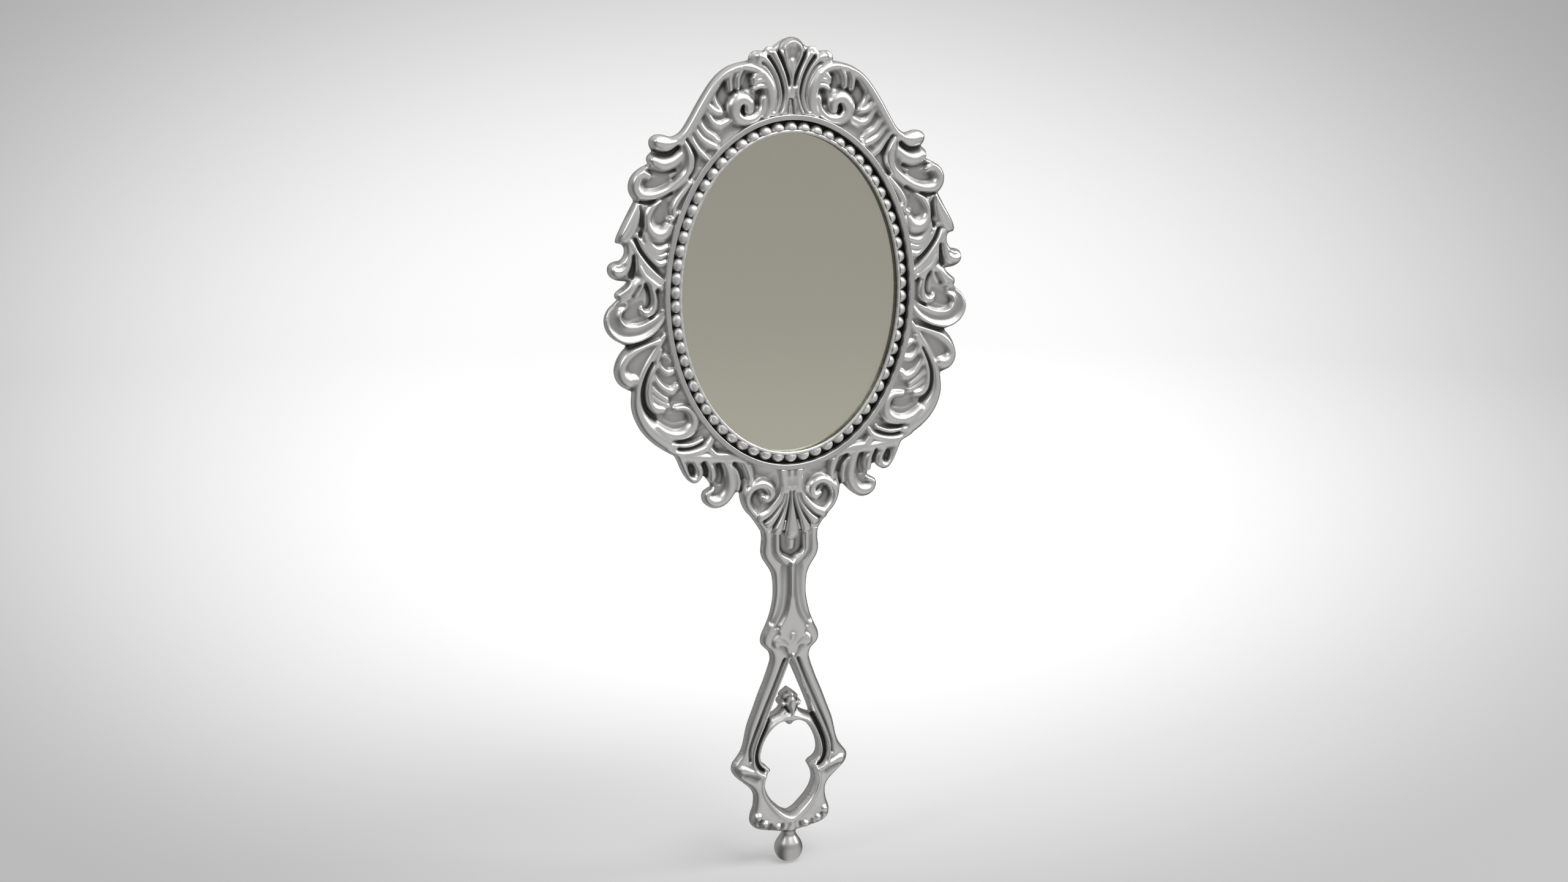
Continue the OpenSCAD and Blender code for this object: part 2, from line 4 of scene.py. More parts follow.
import bpy
import numpy as np
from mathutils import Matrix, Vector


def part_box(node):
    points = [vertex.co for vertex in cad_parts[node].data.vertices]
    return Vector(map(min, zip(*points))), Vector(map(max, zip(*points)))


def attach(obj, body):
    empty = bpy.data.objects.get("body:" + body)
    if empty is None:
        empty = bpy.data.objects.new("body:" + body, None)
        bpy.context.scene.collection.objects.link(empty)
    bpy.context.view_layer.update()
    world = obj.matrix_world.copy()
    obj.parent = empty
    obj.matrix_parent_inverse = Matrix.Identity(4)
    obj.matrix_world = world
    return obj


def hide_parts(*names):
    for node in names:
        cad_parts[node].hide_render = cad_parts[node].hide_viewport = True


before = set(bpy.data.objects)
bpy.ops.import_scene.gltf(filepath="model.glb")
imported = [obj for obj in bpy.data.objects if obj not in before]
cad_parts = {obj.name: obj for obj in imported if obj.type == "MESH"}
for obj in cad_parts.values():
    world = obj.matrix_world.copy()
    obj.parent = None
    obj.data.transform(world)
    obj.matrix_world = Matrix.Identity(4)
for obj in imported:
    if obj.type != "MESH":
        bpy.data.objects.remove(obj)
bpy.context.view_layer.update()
MM = 0.001

# Reliefs are drawn in millimetres. y is depth: the front of the mirror is at negative y.
CELL = 0.25            # spacing of the relief grid
PATH_STEP = 0.25       # spacing of the samples along a stroke
RIDGE_SPREAD = 0.32    # strokes are wider than their rows say, so that neighbours touch
GROOVE_SPREAD = 0.3    # the same for grooves
RIDGE_BASE = 0.6       # height of a stroke with no width
RIDGE_GAIN = 0.66      # extra height per millimetre of half width
RIDGE_MAX = 2.85       # no stroke stands higher than this above the ground
BLEND = 0.22           # how softly strokes run into each other
LOWEST = -0.35         # grooves go no deeper than this under the ground
FILL = 0.5             # how full the valleys between neighbouring strokes are
SOFTEN = 0.26          # final smoothing radius
GROUND_Y = -1.6        # the flat ground between the strokes
FRONT_ROUND = (1.1, 0.9)   # the rounded front edges: how far in, how far down
BACK_ROUND = (2.0, 2.6)    # the back edges are rounder
OUTLINE_REACH = 3.0    # distances to an outline are not told apart beyond this
STEP = 0.9             # a surface that rises more than this within one cell is a step, not a slope
BACK_ECHO = 0.9        # height of the shallow ornament on the back


def box_mm(node):
    """(low corner, high corner) of a CAD node in millimetres."""
    low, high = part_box(node)
    return np.array(low) / MM, np.array(high) / MM


def half_axes(node):
    """Half width and half height of an oval node."""
    low, high = box_mm(node)
    return (high[[0, 2]] - low[[0, 2]]) / 2


BACK_Y = box_mm("head_casting")[1][1]
OVAL_Z = (box_mm("mirror_glass")[0][2] + box_mm("mirror_glass")[1][2]) / 2
GLASS_AXES = half_axes("mirror_glass")
BEZEL_AXES = half_axes("glass_bezel")
BAND_AXES = half_axes("rim_band")
COVER_AXES = half_axes("back_cover")
JOINT_Z = box_mm("head_casting")[0][2]
TONGUE_TOP_Z = box_mm("handle_casting")[1][2]
CHANNEL_Y = box_mm("glass_bezel")[1][1]
BAND_WIDTH = 1.6
LIP_WIDTH = 0.95
BEAD_OUT = 0.35        # how far the beads' middles lie outside the bezel
BEAD_Y = -1.5
BEAD_R = 1.96
BEAD_COUNT = 66


# How bright the backdrop is for the camera, with painted darker corners, and for everything that is lit by it or
# reflects it.
SEEN_BRIGHT, SEEN_DARK = 1.05, 0.44
SEEN_GLOW, SEEN_LIT = 0.57, 0.7
# ROOM_*: the painted light of the glowing room that reflections and bounce light see: sides, back, front, the
# painted pool on the floor, and above
ROOM_SIDE, ROOM_BACK, ROOM_FRONT, ROOM_FLOOR, ROOM_HIGH = 0.10, 0.31, 0.30, 0.20, 0.14


# ---------------------------------------------------------------- reliefs: curves and heights

def spline(points, step=PATH_STEP):
    """Smooth curve through rows of numbers, sampled about every step millimetres; the ends are kept."""
    rows = np.asarray(points, float)
    ghost = np.vstack([2 * rows[0] - rows[1], rows, 2 * rows[-1] - rows[-2]])
    out = []
    for a, b, c, d in zip(ghost[:-3], ghost[1:-2], ghost[2:-1], ghost[3:]):
        n = max(2, int(np.hypot(*(c - b)[:2]) / step))
        t = np.linspace(0, 1, n, endpoint=False)[:, None]
        out.append(0.5 * (2 * b + (c - a) * t + (2 * a - 5 * b + 4 * c - d) * t**2
                          + (3 * b - a - 3 * c + d) * t**3))
    return np.vstack(out + [rows[-1:]])


def round_top(t):
    """A rounded ridge, between a half circle and a parabola."""
    return np.clip(1 - t * t, 0, 1) ** 0.68


def hollow_top(t):
    """A scooped leaf: a dished middle between two raised, rounded edges."""
    edge = 0.74
    dish = 0.3 + 0.7 * (t / edge) ** 2
    lip = np.sqrt(np.clip(1 - ((t - edge) / (1 - edge)) ** 2, 0, 1))
    return np.where(t < edge, dish, lip)


def creased_top(t):
    """A rounded leaf with a fine vein down its middle."""
    return round_top(t) - 0.28 * np.exp(-((t / 0.2) ** 2))


def flat_top(t):
    """A plateau with a short rounded shoulder."""
    return np.clip((1 - t) / 0.3, 0, 1) ** 0.5


def ramp(value, low, high):
    """0 below low, 1 above high, smooth between."""
    t = np.clip((value - low) / (high - low), 0, 1)
    return t * t * (3 - 2 * t)


def blurred(field, radius):
    """The field smoothed over radius millimetres, along both directions."""
    reach = int(3 * radius / CELL)
    weights = np.exp(-0.5 * (np.arange(-reach, reach + 1) * CELL / radius) ** 2)
    weights /= weights.sum()
    for axis in (0, 1):
        pad = [(0, 0), (0, 0)]
        pad[axis] = (reach, reach)
        padded = np.pad(field, pad, mode="edge")
        field = np.apply_along_axis(lambda row: np.convolve(row, weights, "valid"), axis, padded)
    return field


class Relief:
    """Heights above the sunk ground of one half (x >= 0), drawn with tapered strokes; all in millimetres."""

    def __init__(self, x_max, z_low, z_high):
        self.x = np.arange(0, x_max + CELL, CELL)
        self.z = np.arange(z_low, z_high + CELL, CELL)
        self.height = np.zeros((len(self.x), len(self.z)))
        self.cuts = np.zeros(self.height.shape)
        self.pockets = np.zeros(self.height.shape)
        self.edge = np.full(self.height.shape, OUTLINE_REACH)   # signed distance to everything drawn

    def near(self, path, reach):
        """The part of the grid within reach of a path."""
        low = path[:, :2].min(axis=0) - reach
        high = path[:, :2].max(axis=0) + reach
        i = np.searchsorted(self.x, [low[0], high[0]])
        j = np.searchsorted(self.z, [low[1], high[1]])
        return slice(*i), slice(*j)

    def measure(self, points, widen=0.0):
        """Near a stroke: where, how far across it (0 on its centre line, 1 at its edge), its half width."""
        path = spline(points).astype(np.float32)
        path[:, 2] += widen
        where = self.near(path, path[:, 2].max() + 3 * CELL)
        dx = self.x[where[0]].astype(np.float32)[:, None, None] - path[:, 0]
        dz = self.z[where[1]].astype(np.float32)[None, :, None] - path[:, 1]
        across = np.sqrt(dx * dx + dz * dz) / path[:, 2]
        nearest = across.argmin(axis=2)
        return where, across.min(axis=2), path[nearest, 2]

    def ridge(self, points, lift=0.0, top=round_top):
        """A raised stroke of rows [x, z, half width]; a wide stroke stands higher than a thin one."""
        where, across, half_width = self.measure(points, RIDGE_SPREAD)
        peak = np.clip(RIDGE_BASE + RIDGE_GAIN * half_width + lift, 0.1, RIDGE_MAX)
        stroke = peak * top(across)
        under = self.height[where]
        gap = np.clip(BLEND - np.abs(stroke - under), 0, None)
        merged = np.maximum(stroke, under) + gap * gap / (4 * BLEND)
        self.height[where] = np.where(across < 1, merged, under)
        self.edge[where] = np.minimum(self.edge[where], (across - 1) * half_width)

    def rise(self, points, lift):
        """A rounded stroke added on top of whatever is under it."""
        where, across, _ = self.measure(points)
        self.height[where] += lift * round_top(across)

    def groove(self, points, depth=0.9):
        """A soft cut, made after everything raised is in place."""
        where, across, _ = self.measure(points, GROOVE_SPREAD)
        cut = depth * np.clip(1 - across * across, 0, 1) ** 1.5
        self.cuts[where] = np.maximum(self.cuts[where], cut)

    def pocket(self, points):
        """A patch of open ground, which the soft filling between strokes leaves alone."""
        where, across, _ = self.measure(points)
        self.pockets[where] = np.maximum(self.pockets[where], 1 - ramp(across, 0.75, 1.15))

    def layer(self, outline, lift, shoulder=0.5):
        """Raises everything inside an outline by lift, with a short rounded shoulder."""
        edge = outline_field(self, [np.array(outline)])
        self.height += lift * np.sqrt(np.clip(1 - np.clip(1 + edge / shoulder, 0, 1) ** 2, 0, 1))

    def settle(self, fill=FILL):
        """Fills the gaps between strokes with soft valleys, then cuts the grooves and softens it all."""
        soft = np.maximum(fill * blurred(self.height, 0.9), 0.9 * fill * blurred(self.height, 2.2))
        filled = np.maximum(self.height, soft * (1 - self.pockets))
        cut = np.maximum(filled - self.cuts, np.minimum(filled, LOWEST))
        self.height = blurred(cut, SOFTEN)


# ---------------------------------------------------------------- reliefs: the head's ornament

def draw_arch(r):
    """The arch beside the crest, its inner scroll and the leaflets that run to the oval band."""
    r.ridge([[33.6, 221.4, 1.7], [31.2, 225.4, 2.1], [29, 229, 2.2], [26.6, 233, 2.2], [24, 236.6, 1.9],
             [21.4, 239.4, 1.5], [18, 241.2, 1.2], [14.5, 242, 1.1], [11.2, 241.4, 1.2], [8.8, 239.7, 1.6],
             [7, 237, 1.9], [6.3, 234, 1.9], [6.3, 231, 1.8], [7.7, 228.3, 1.3]], lift=0.2)
    r.ridge([[8.4, 240, 0.8], [10.4, 239.7, 0.8], [11.6, 238.6, 0.7]], lift=0.7)
    r.ridge([[8, 238.2, 0.75], [10, 238.2, 0.75], [11.6, 237.5, 0.6]], lift=0.7)
    r.ridge([[7.8, 236.4, 0.7], [9.8, 236.5, 0.75], [11.4, 235.7, 0.6]], lift=0.6)
    r.ridge([[15.4, 241.2, 0.9], [16.4, 239, 0.85], [16.5, 236.3, 0.7]], lift=0.5)
    r.ridge([[18.2, 240.8, 0.9], [18.9, 238.5, 0.85], [18.7, 235.8, 0.75]], lift=0.5)
    r.ridge([[21, 239, 0.6], [22.9, 236.5, 0.7], [23.7, 234, 0.7], [23, 231.4, 0.7], [21.4, 229.7, 0.6]])
    r.ridge([[26.5, 233.5, 1], [25.2, 231, 0.95], [23.2, 229.4, 0.85], [21.4, 229.1, 0.7]], lift=0.3)
    # the round inner scroll
    r.ridge([[8.4, 233, 0.8], [8.9, 229.8, 0.9], [11, 227.5, 1.1], [14, 226.8, 1.5], [16.8, 228, 2],
             [17.4, 230.7, 2.3], [15.6, 232.7, 2.3], [13.3, 231.8, 1.9], [13.1, 229.9, 1.5]], lift=0.2)
    r.groove([[14.6, 228.6, 0.2], [15.2, 229.7, 0.4], [14.9, 231, 0.3]], 1.4)
    # leaflets
    r.ridge([[18.4, 227.4, 0.6], [20, 226.3, 0.9], [22, 225.6, 1], [24, 226.5, 0.95], [25.3, 228.5, 0.85],
             [26.6, 231, 0.8]])
    r.ridge([[28, 229.6, 0.75], [27.9, 226.5, 0.85], [26.3, 224, 0.9], [24.2, 222.6, 0.9],
             [22.7, 221.3, 0.7]])
    r.ridge([[29.6, 227.6, 0.75], [29.2, 224.5, 0.85], [27.5, 222, 0.9], [25.3, 220.4, 1],
             [23.3, 219.6, 0.8]])
    r.ridge([[31.3, 225.6, 0.75], [30.4, 222, 0.85], [28.6, 219, 0.85], [26.6, 217, 0.85],
             [25.3, 216, 0.6]])
    r.groove([[31.9, 221.8, 0.4], [30, 219, 0.5], [28.9, 216.3, 0.5], [29.4, 213.2, 0.5],
              [31, 210.9, 0.4]], 1.3)


def draw_shoulder(r):
    """The horn, the two lobes under it and the shoulder's C-scroll."""
    r.ridge([[31.5, 225, 1.4], [33, 223, 1.7], [35.5, 221.2, 1.8], [38, 220.8, 2.3], [40.2, 221.2, 2.1]],
            lift=0.1)
    r.groove([[35.4, 222.1, 0.3], [38, 221.9, 0.45], [40.6, 222.3, 0.4]], 0.5)
    r.ridge([[33.2, 217.6, 1.3], [36, 215.5, 1.8], [39, 214.8, 1.8], [41.6, 215.8, 1.5]], lift=0)
    r.groove([[42.6, 218.9, 0.4], [40, 217.9, 0.45], [37, 217.9, 0.45], [34.4, 219.8, 0.3]], 1.3)
    r.groove([[44, 213.5, 0.35], [41, 212.5, 0.45], [38, 212.3, 0.45], [35.4, 213.2, 0.3]], 1)
    r.groove([[45.2, 214.3, 0.5], [45.9, 213.8, 0.5]], 1.3)
    r.ridge([[33, 222.5, 1.6], [31.8, 219, 2.1], [31.3, 215.5, 2.1], [32, 212.5, 1.9], [34.2, 210.1, 1.6],
             [37, 208, 1.3], [40, 206.7, 1.3], [43, 206.1, 1.4], [46, 206.6, 1.8], [47.4, 209, 1.9],
             [46.7, 211.5, 1.8], [44.9, 212.9, 1.5], [43.4, 211.9, 1.1]], lift=0.1)
    r.groove([[33.2, 220, 0.3], [32.4, 216.6, 0.5], [33.2, 213, 0.5], [36, 210.6, 0.4]], 0.7)
    r.groove([[36.4, 206.8, 0.25], [39, 205.4, 0.4], [43.4, 204.3, 0.5], [45.8, 204.6, 0.4]], 1.3)
    r.ridge([[30.8, 209.6, 0.55], [32.8, 207.2, 0.8], [34.8, 204.6, 0.9], [36, 202, 0.85],
             [35.7, 200.6, 0.7], [34.7, 201.1, 0.5]], lift=0.4)
    r.ridge([[37.2, 197.5, 1.2], [38.6, 195.4, 1.9], [40.7, 194.9, 2], [42.7, 196.2, 1.6],
             [43.7, 198.8, 1.1], [43, 201.6, 0.9], [41, 204.3, 0.85], [38, 207.1, 0.85],
             [33.6, 210, 0.8]], lift=0.1)
    r.ridge([[36.3, 199.6, 0.8], [37, 199.2, 0.8]], lift=0.6)


def draw_spike(r):
    """The pointed leaf at the widest shoulder, the long stems under it and the small outer curl."""
    r.ridge([[45.4, 204.4, 0.8], [46.9, 201, 1.5], [48.7, 197.6, 2.1], [50.6, 194.9, 1.9],
             [51.9, 194.3, 0.8]], lift=-0.2, top=creased_top)
    r.groove([[45.6, 203.3, 0.3], [45.2, 200, 0.6], [45.3, 196.8, 0.6], [45.8, 194.8, 0.4]], 1.3)
    r.ridge([[37.8, 191.4, 0.7], [40.2, 190.7, 0.95], [42, 191.4, 0.9], [44, 194, 0.85],
             [45.4, 197, 0.8]])
    r.ridge([[38.1, 189.3, 0.6], [40.3, 188.8, 0.7], [42.4, 190, 0.65], [44.6, 192.6, 0.5]])
    r.ridge([[38.3, 187.1, 0.75], [40.3, 186.7, 0.8], [42.4, 188.2, 0.8], [44.4, 190.5, 0.75],
             [46, 193.4, 0.75], [47, 195.4, 0.6]])
    r.ridge([[39.2, 181.6, 0.8], [42, 184.4, 1], [44.6, 187.1, 1], [46.9, 190.1, 1], [48.3, 192.4, 1],
             [49.2, 193.7, 0.8]], lift=0.3)
    r.groove([[47.1, 194.1, 0.35], [46, 191.1, 0.5], [43.5, 187.6, 0.6], [41, 184.9, 0.6],
              [39, 183.4, 0.5]], 1.2)
    r.ridge([[49.4, 193, 0.9], [49.2, 190, 1.2], [49.9, 187.3, 1.6], [51.4, 185.5, 2], [53, 185.2, 2]],
            lift=-0.1)
    r.groove([[50.9, 186.8, 0.3], [52.2, 186, 0.5], [53.4, 186.2, 0.4]], 0.6)
    r.groove([[47.8, 189.3, 0.3], [47.9, 186.4, 0.5], [48.7, 183.4, 0.5]], 1.3)


def draw_side(r):
    """The leaf, hook and big hollow C-scroll at the widest part of the head."""
    r.ridge([[47.3, 189, 1], [45.6, 185.6, 2], [44, 183.1, 2.3], [42, 181.3, 2], [39.9, 179.9, 1.2]])
    r.groove([[45.9, 187, 0.3], [44.4, 184.3, 0.4], [42, 182.2, 0.4], [40.4, 181, 0.3]], 0.5)
    r.ridge([[46, 182.2, 1.7], [47.8, 180.5, 2.3], [49.4, 179, 2.1], [51.3, 178.3, 1.3],
             [52.6, 178.1, 0.6]], lift=-0.1)
    r.groove([[46.3, 180.9, 0.4], [47.1, 179.6, 0.65], [48.2, 177.9, 0.6]], 1.4)
    r.ridge([[44.3, 182.3, 0.7], [43, 180, 0.9], [42.1, 177.5, 1], [42, 175, 1.1], [43, 173.2, 1.1],
             [44.8, 172.9, 0.9], [45.6, 173.9, 0.6]], lift=0.3)
    r.groove([[40.8, 179.4, 0.4], [39.9, 177, 0.6], [39.8, 174.5, 0.6], [41, 172.5, 0.5],
              [43, 171.3, 0.4]], 1.3)
    r.groove([[44.5, 181.4, 0.3], [43.5, 179, 0.5], [43.3, 176.5, 0.5], [43.9, 175, 0.4],
              [45, 174.3, 0.3]], 1.3)
    r.ridge([[39.4, 172.4, 1.1], [41, 170.4, 1.5], [43.5, 168.5, 1.9], [47, 167.1, 2.3],
             [51, 167.2, 2.6], [53.7, 169.3, 2.6], [54.5, 172.2, 2.4], [53.2, 174.9, 2],
             [51.3, 175.4, 1.3]], lift=-0.3, top=hollow_top)


def draw_ear(r):
    """The lower ear scroll and the long stem that closes the side of the head."""
    r.groove([[40, 166.7, 0.4], [43, 165.3, 0.6], [46.5, 164.1, 0.6], [49.5, 163.3, 0.5]], 1.3)
    r.ridge([[40.8, 164.6, 0.6], [44, 163.7, 0.75], [47.5, 162.2, 0.95], [50.2, 160.2, 1.15],
             [51.8, 157.7, 1.3], [51.9, 155.2, 1.8], [50.3, 153.4, 2.1], [48.5, 153.7, 1.4]], lift=0.1)
    r.ridge([[38.9, 166, 0.7], [40.5, 163.5, 0.8], [42, 161, 0.85], [43.8, 158, 0.9],
             [45.5, 154.8, 0.9], [46.9, 151.5, 1.1], [47.6, 148, 1.5], [47.3, 144.5, 2],
             [45.8, 141, 2.4], [43.2, 138, 2.6], [40, 135.6, 2.6], [37, 133.6, 2.1]], lift=-0.1)
    r.groove([[42.5, 158.3, 0.4], [44, 155.5, 0.55], [45.2, 152, 0.6], [45.4, 149, 0.6],
              [44.9, 146, 0.6], [43.4, 143.5, 0.5], [42, 142, 0.4]], 1.3)
    # the leaf that grows inwards from the stem
    r.ridge([[40.2, 162, 0.6], [41.5, 159, 0.85], [42.9, 155.8, 1], [44, 152.5, 1.1], [44.2, 149, 1.3],
             [43.6, 146.4, 1.5], [42, 144.9, 1.4], [39.8, 144.6, 1]], lift=0.3)
    r.ridge([[39.6, 160.7, 0.5], [38.3, 160, 0.6], [37.2, 158.9, 0.5]])
    r.ridge([[41, 158.8, 0.6], [40.2, 156.8, 0.8], [38.3, 155.3, 1], [36.6, 155.6, 0.9]], lift=0.1)
    r.ridge([[42.6, 155.5, 0.6], [41.5, 153, 0.8], [39.5, 150.8, 1], [37, 149.8, 1.1], [35.3, 151.2, 0.9]],
            lift=0.1)
    r.ridge([[43.5, 151.9, 0.7], [42, 150, 0.75], [40.3, 148.6, 0.7], [38.4, 147.3, 0.6]])
    r.ridge([[43.8, 149.5, 0.7], [42, 147.8, 0.75], [40, 146.4, 0.7], [38.1, 145.6, 0.6]])
    # the inner scroll
    r.ridge([[36, 144.7, 0.6], [33, 144.6, 0.8], [31, 143, 1.2], [30.3, 140.5, 1.6], [31.2, 138.5, 1.7],
             [33.5, 137, 1.6], [36.5, 136.7, 1.5], [39.5, 137.7, 1.6], [41.8, 139.6, 1.3]], lift=0.3)
    r.groove([[27.3, 138, 0.4], [28.5, 136.4, 0.55], [31, 135.1, 0.55], [34, 134.9, 0.5],
              [37, 134.9, 0.4]], 0.7)


def draw_lower_edge(r):
    """The bands under the glass, the pierced drop, the hook and the curl."""
    r.ridge([[27.6, 134.9, 0.5], [31, 133.7, 0.65], [34, 133.6, 0.65], [36.5, 134.3, 0.5]], lift=0.2)
    r.groove([[26, 136, 0.35], [28, 133.8, 0.4], [31, 132.7, 0.4], [34, 132.5, 0.4], [37, 133.3, 0.35]], 0.6)
    r.ridge([[24.6, 135, 0.7], [26, 132.8, 1], [28.5, 131.6, 1.1], [32, 131, 1.1], [35.5, 131.2, 1.2],
             [38.6, 132.6, 1.4]], lift=0.1)
    r.ridge([[16.5, 128.8, 0.6], [20, 129.7, 0.8], [23.5, 130, 1], [25.6, 131.8, 1.1]], lift=0.2)
    r.ridge([[14.6, 127.3, 0.9], [17, 128.3, 1], [21, 128.6, 1.3], [26, 129.3, 1.6], [31, 129.8, 1.6],
             [35, 130.3, 1.2]])
    r.ridge([[30, 128.4, 0.9], [28.6, 125.6, 1], [29.3, 123.3, 1.1], [31.3, 123, 1.1], [32.8, 125, 1.1],
             [33.8, 127.5, 1.1], [34.7, 129.3, 1]], lift=0.2)
    r.groove([[31, 124.9, 0.6], [31.2, 126.2, 0.8], [31.4, 127.1, 0.5]], 1.6)
    r.ridge([[26.8, 128.5, 1], [25.2, 126, 1.15], [24.8, 123.9, 1.15], [25.2, 122.6, 0.8]], lift=0.3)
    r.groove([[27.3, 128, 0.4], [26.6, 126, 0.55], [26.6, 123.8, 0.5]], 1.5)
    r.groove([[22.8, 127, 0.4], [22.1, 124.5, 0.6], [22.6, 121.8, 0.6]], 1.5)
    r.ridge([[20.8, 128, 1.2], [19.5, 125, 1.6], [19, 121.5, 1.8], [19.8, 118.3, 1.9], [21.8, 116.1, 1.9],
             [24.5, 115.8, 1.7], [26.3, 117, 1.4], [26.5, 118.6, 1.1], [25.1, 119.5, 0.8]], lift=0.1)
    r.groove([[18, 127, 0.4], [16.1, 124.5, 0.5], [15.3, 121.5, 0.5], [15.8, 118.8, 0.4]], 1.2)
    r.ridge([[18.8, 127.3, 0.4], [17, 124.8, 0.45], [16.4, 122, 0.45], [16.6, 119, 0.4]], lift=0.2)
    r.ridge([[14.8, 127.3, 0.8], [13.6, 124.8, 1], [12.9, 122.4, 0.9]], lift=0.2)


def draw_volute(r):
    """The round scroll on each side of the neck."""
    r.ridge([[15.2, 121.6, 0.7], [15, 118.6, 0.9], [14.6, 115.4, 1.1], [13.4, 112.8, 1.2],
             [11.8, 110.8, 1.2], [10.4, 109, 1]], lift=0)
    r.ridge([[11.5, 110.9, 0.9], [13.1, 112.8, 1], [14.1, 115.2, 1.1], [13.6, 117.8, 1.1],
             [11.8, 119.6, 1.2], [9.3, 120.3, 1.4], [7, 119, 1.4], [6.4, 116.8, 1.2],
             [7.7, 115.4, 1], [9, 116.2, 0.8]], lift=0.5)
    r.ridge([[13.2, 120.9, 1], [12.7, 123.4, 0.9], [13.3, 126, 0.9]], lift=0.1)


def draw_pockets(r):
    """The open patches of flat ground."""
    for patch in (
            [[13, 239.2, 1], [13.2, 236.8, 1.5]], [[21, 236.8, 1.3], [21, 233.4, 2], [20.3, 230.8, 1.3]],
            [[14.6, 236, 1], [18.6, 235, 1.2], [20.5, 234.5, 1.6]], [[10, 234.7, 0.9], [10.3, 231.6, 0.9]],
            [[13.6, 225.1, 0.8], [18, 224.6, 0.9], [21, 222.7, 1], [24.6, 218.3, 1.1], [27.6, 214.6, 1]],
            [[38, 210.7, 1.2], [41, 209.8, 1.7], [43.4, 209.4, 1.4]],
            [[38.2, 203.8, 1.2], [40, 201.2, 1.8], [40, 199, 1.5]],
            [[45.8, 175.8, 0.9], [47.3, 173.8, 2.2], [49.5, 172.6, 2]],
            [[31, 147.4, 1.1], [34, 147.8, 1.2], [37.3, 147.3, 0.8]],
            [[33.6, 141.8, 1.2], [36.5, 141.7, 1.4], [38.8, 142.3, 1]],
            [[26.7, 136.3, 1.2], [29, 136.9, 1]], [[21.5, 132.4, 1], [23.8, 132.3, 1.1]],
            [[6, 124.8, 1.3], [8.6, 124.3, 2], [10.6, 124.8, 1.6]], [[5, 122, 1], [5, 119.5, 0.8]],
            [[10.3, 113.9, 1.2], [11.4, 115.6, 1.2], [11, 117.2, 1]]):
        r.pocket(patch)


def draw_head(r):
    for part in (draw_arch, draw_shoulder, draw_spike, draw_side, draw_ear, draw_lower_edge, draw_volute,
                 draw_pockets):
        part(r)
    r.settle()


def draw_crest(r):
    """The fan of petals on top of the head, round a scooped middle leaf, on a low border of its own."""
    r.ridge([[6.4, 228.8, 1.4], [5.1, 231.8, 1.4], [4.7, 235, 1.4], [5.9, 239, 1.4], [8, 241.9, 1.5],
             [10.6, 244.2, 2]], lift=-0.9)
    r.ridge([[3, 237, 1.6], [5.4, 243.4, 2], [6.4, 245.6, 1.8]], lift=-0.9)
    r.ridge([[0, 228, 3], [0, 238, 2], [0, 243, 3], [0, 246.3, 3.7]], lift=-1.9, top=flat_top)
    # petals, from the outer one inwards
    r.ridge([[6.3, 228.8, 1], [5.2, 231.8, 1], [4.9, 235, 0.95], [6.1, 239, 0.9], [8, 241.9, 0.9],
             [10.2, 243.4, 1]], lift=0.2)
    r.ridge([[4.9, 228.7, 0.8], [3.9, 231.2, 0.8], [3.5, 234.2, 0.8], [4.5, 238.4, 0.85], [6.4, 241.9, 0.9],
             [8.2, 244, 1.2], [9.8, 244.8, 1.4]], lift=0.5)
    r.ridge([[3.4, 228.6, 0.9], [2.4, 231, 0.9], [1.6, 234.6, 0.8], [2.4, 238.8, 0.75], [4, 242.8, 0.85],
             [5.7, 245.8, 1.1]], lift=0.8)
    # the middle leaf: a smooth stem that opens into a spoon
    r.ridge([[0, 233.6, 0.5], [0, 237, 0.7], [0, 241, 1], [0, 243.6, 0.8]], lift=0.4)
    r.ridge([[0, 240.4, 1], [0, 242.2, 1.6], [0, 244.4, 2.4], [0, 246.4, 3.1]], lift=0.3, top=hollow_top)
    r.settle()
    r.groove([[0.8, 236.6, 0.2], [1.2, 239.2, 0.3], [2.4, 242.4, 0.35], [3.6, 244.8, 0.35],
              [4.6, 246.9, 0.3]], 1.2)
    r.groove([[4.1, 228.8, 0.3], [3.1, 231, 0.3], [2.6, 234.4, 0.35], [3.5, 238.6, 0.35], [5.2, 242.2, 0.35],
              [7.1, 244.8, 0.3]], 1.3)
    r.groove([[5.5, 229.4, 0.25], [4.5, 231.8, 0.3], [4.2, 234.8, 0.35], [5.3, 238.8, 0.35],
              [7.2, 241.8, 0.35], [8.9, 243, 0.4]], 1.2)
    r.groove([[0, 232.6, 0.1], [0, 230.6, 0.7], [0, 228.4, 1.2]], 2)
    r.height = r.height - r.cuts
    r.rise([[0, 228.6, 0.6], [0, 230.4, 0.5], [0, 231.8, 0.4]], 1)
    r.height = blurred(r.height, SOFTEN)


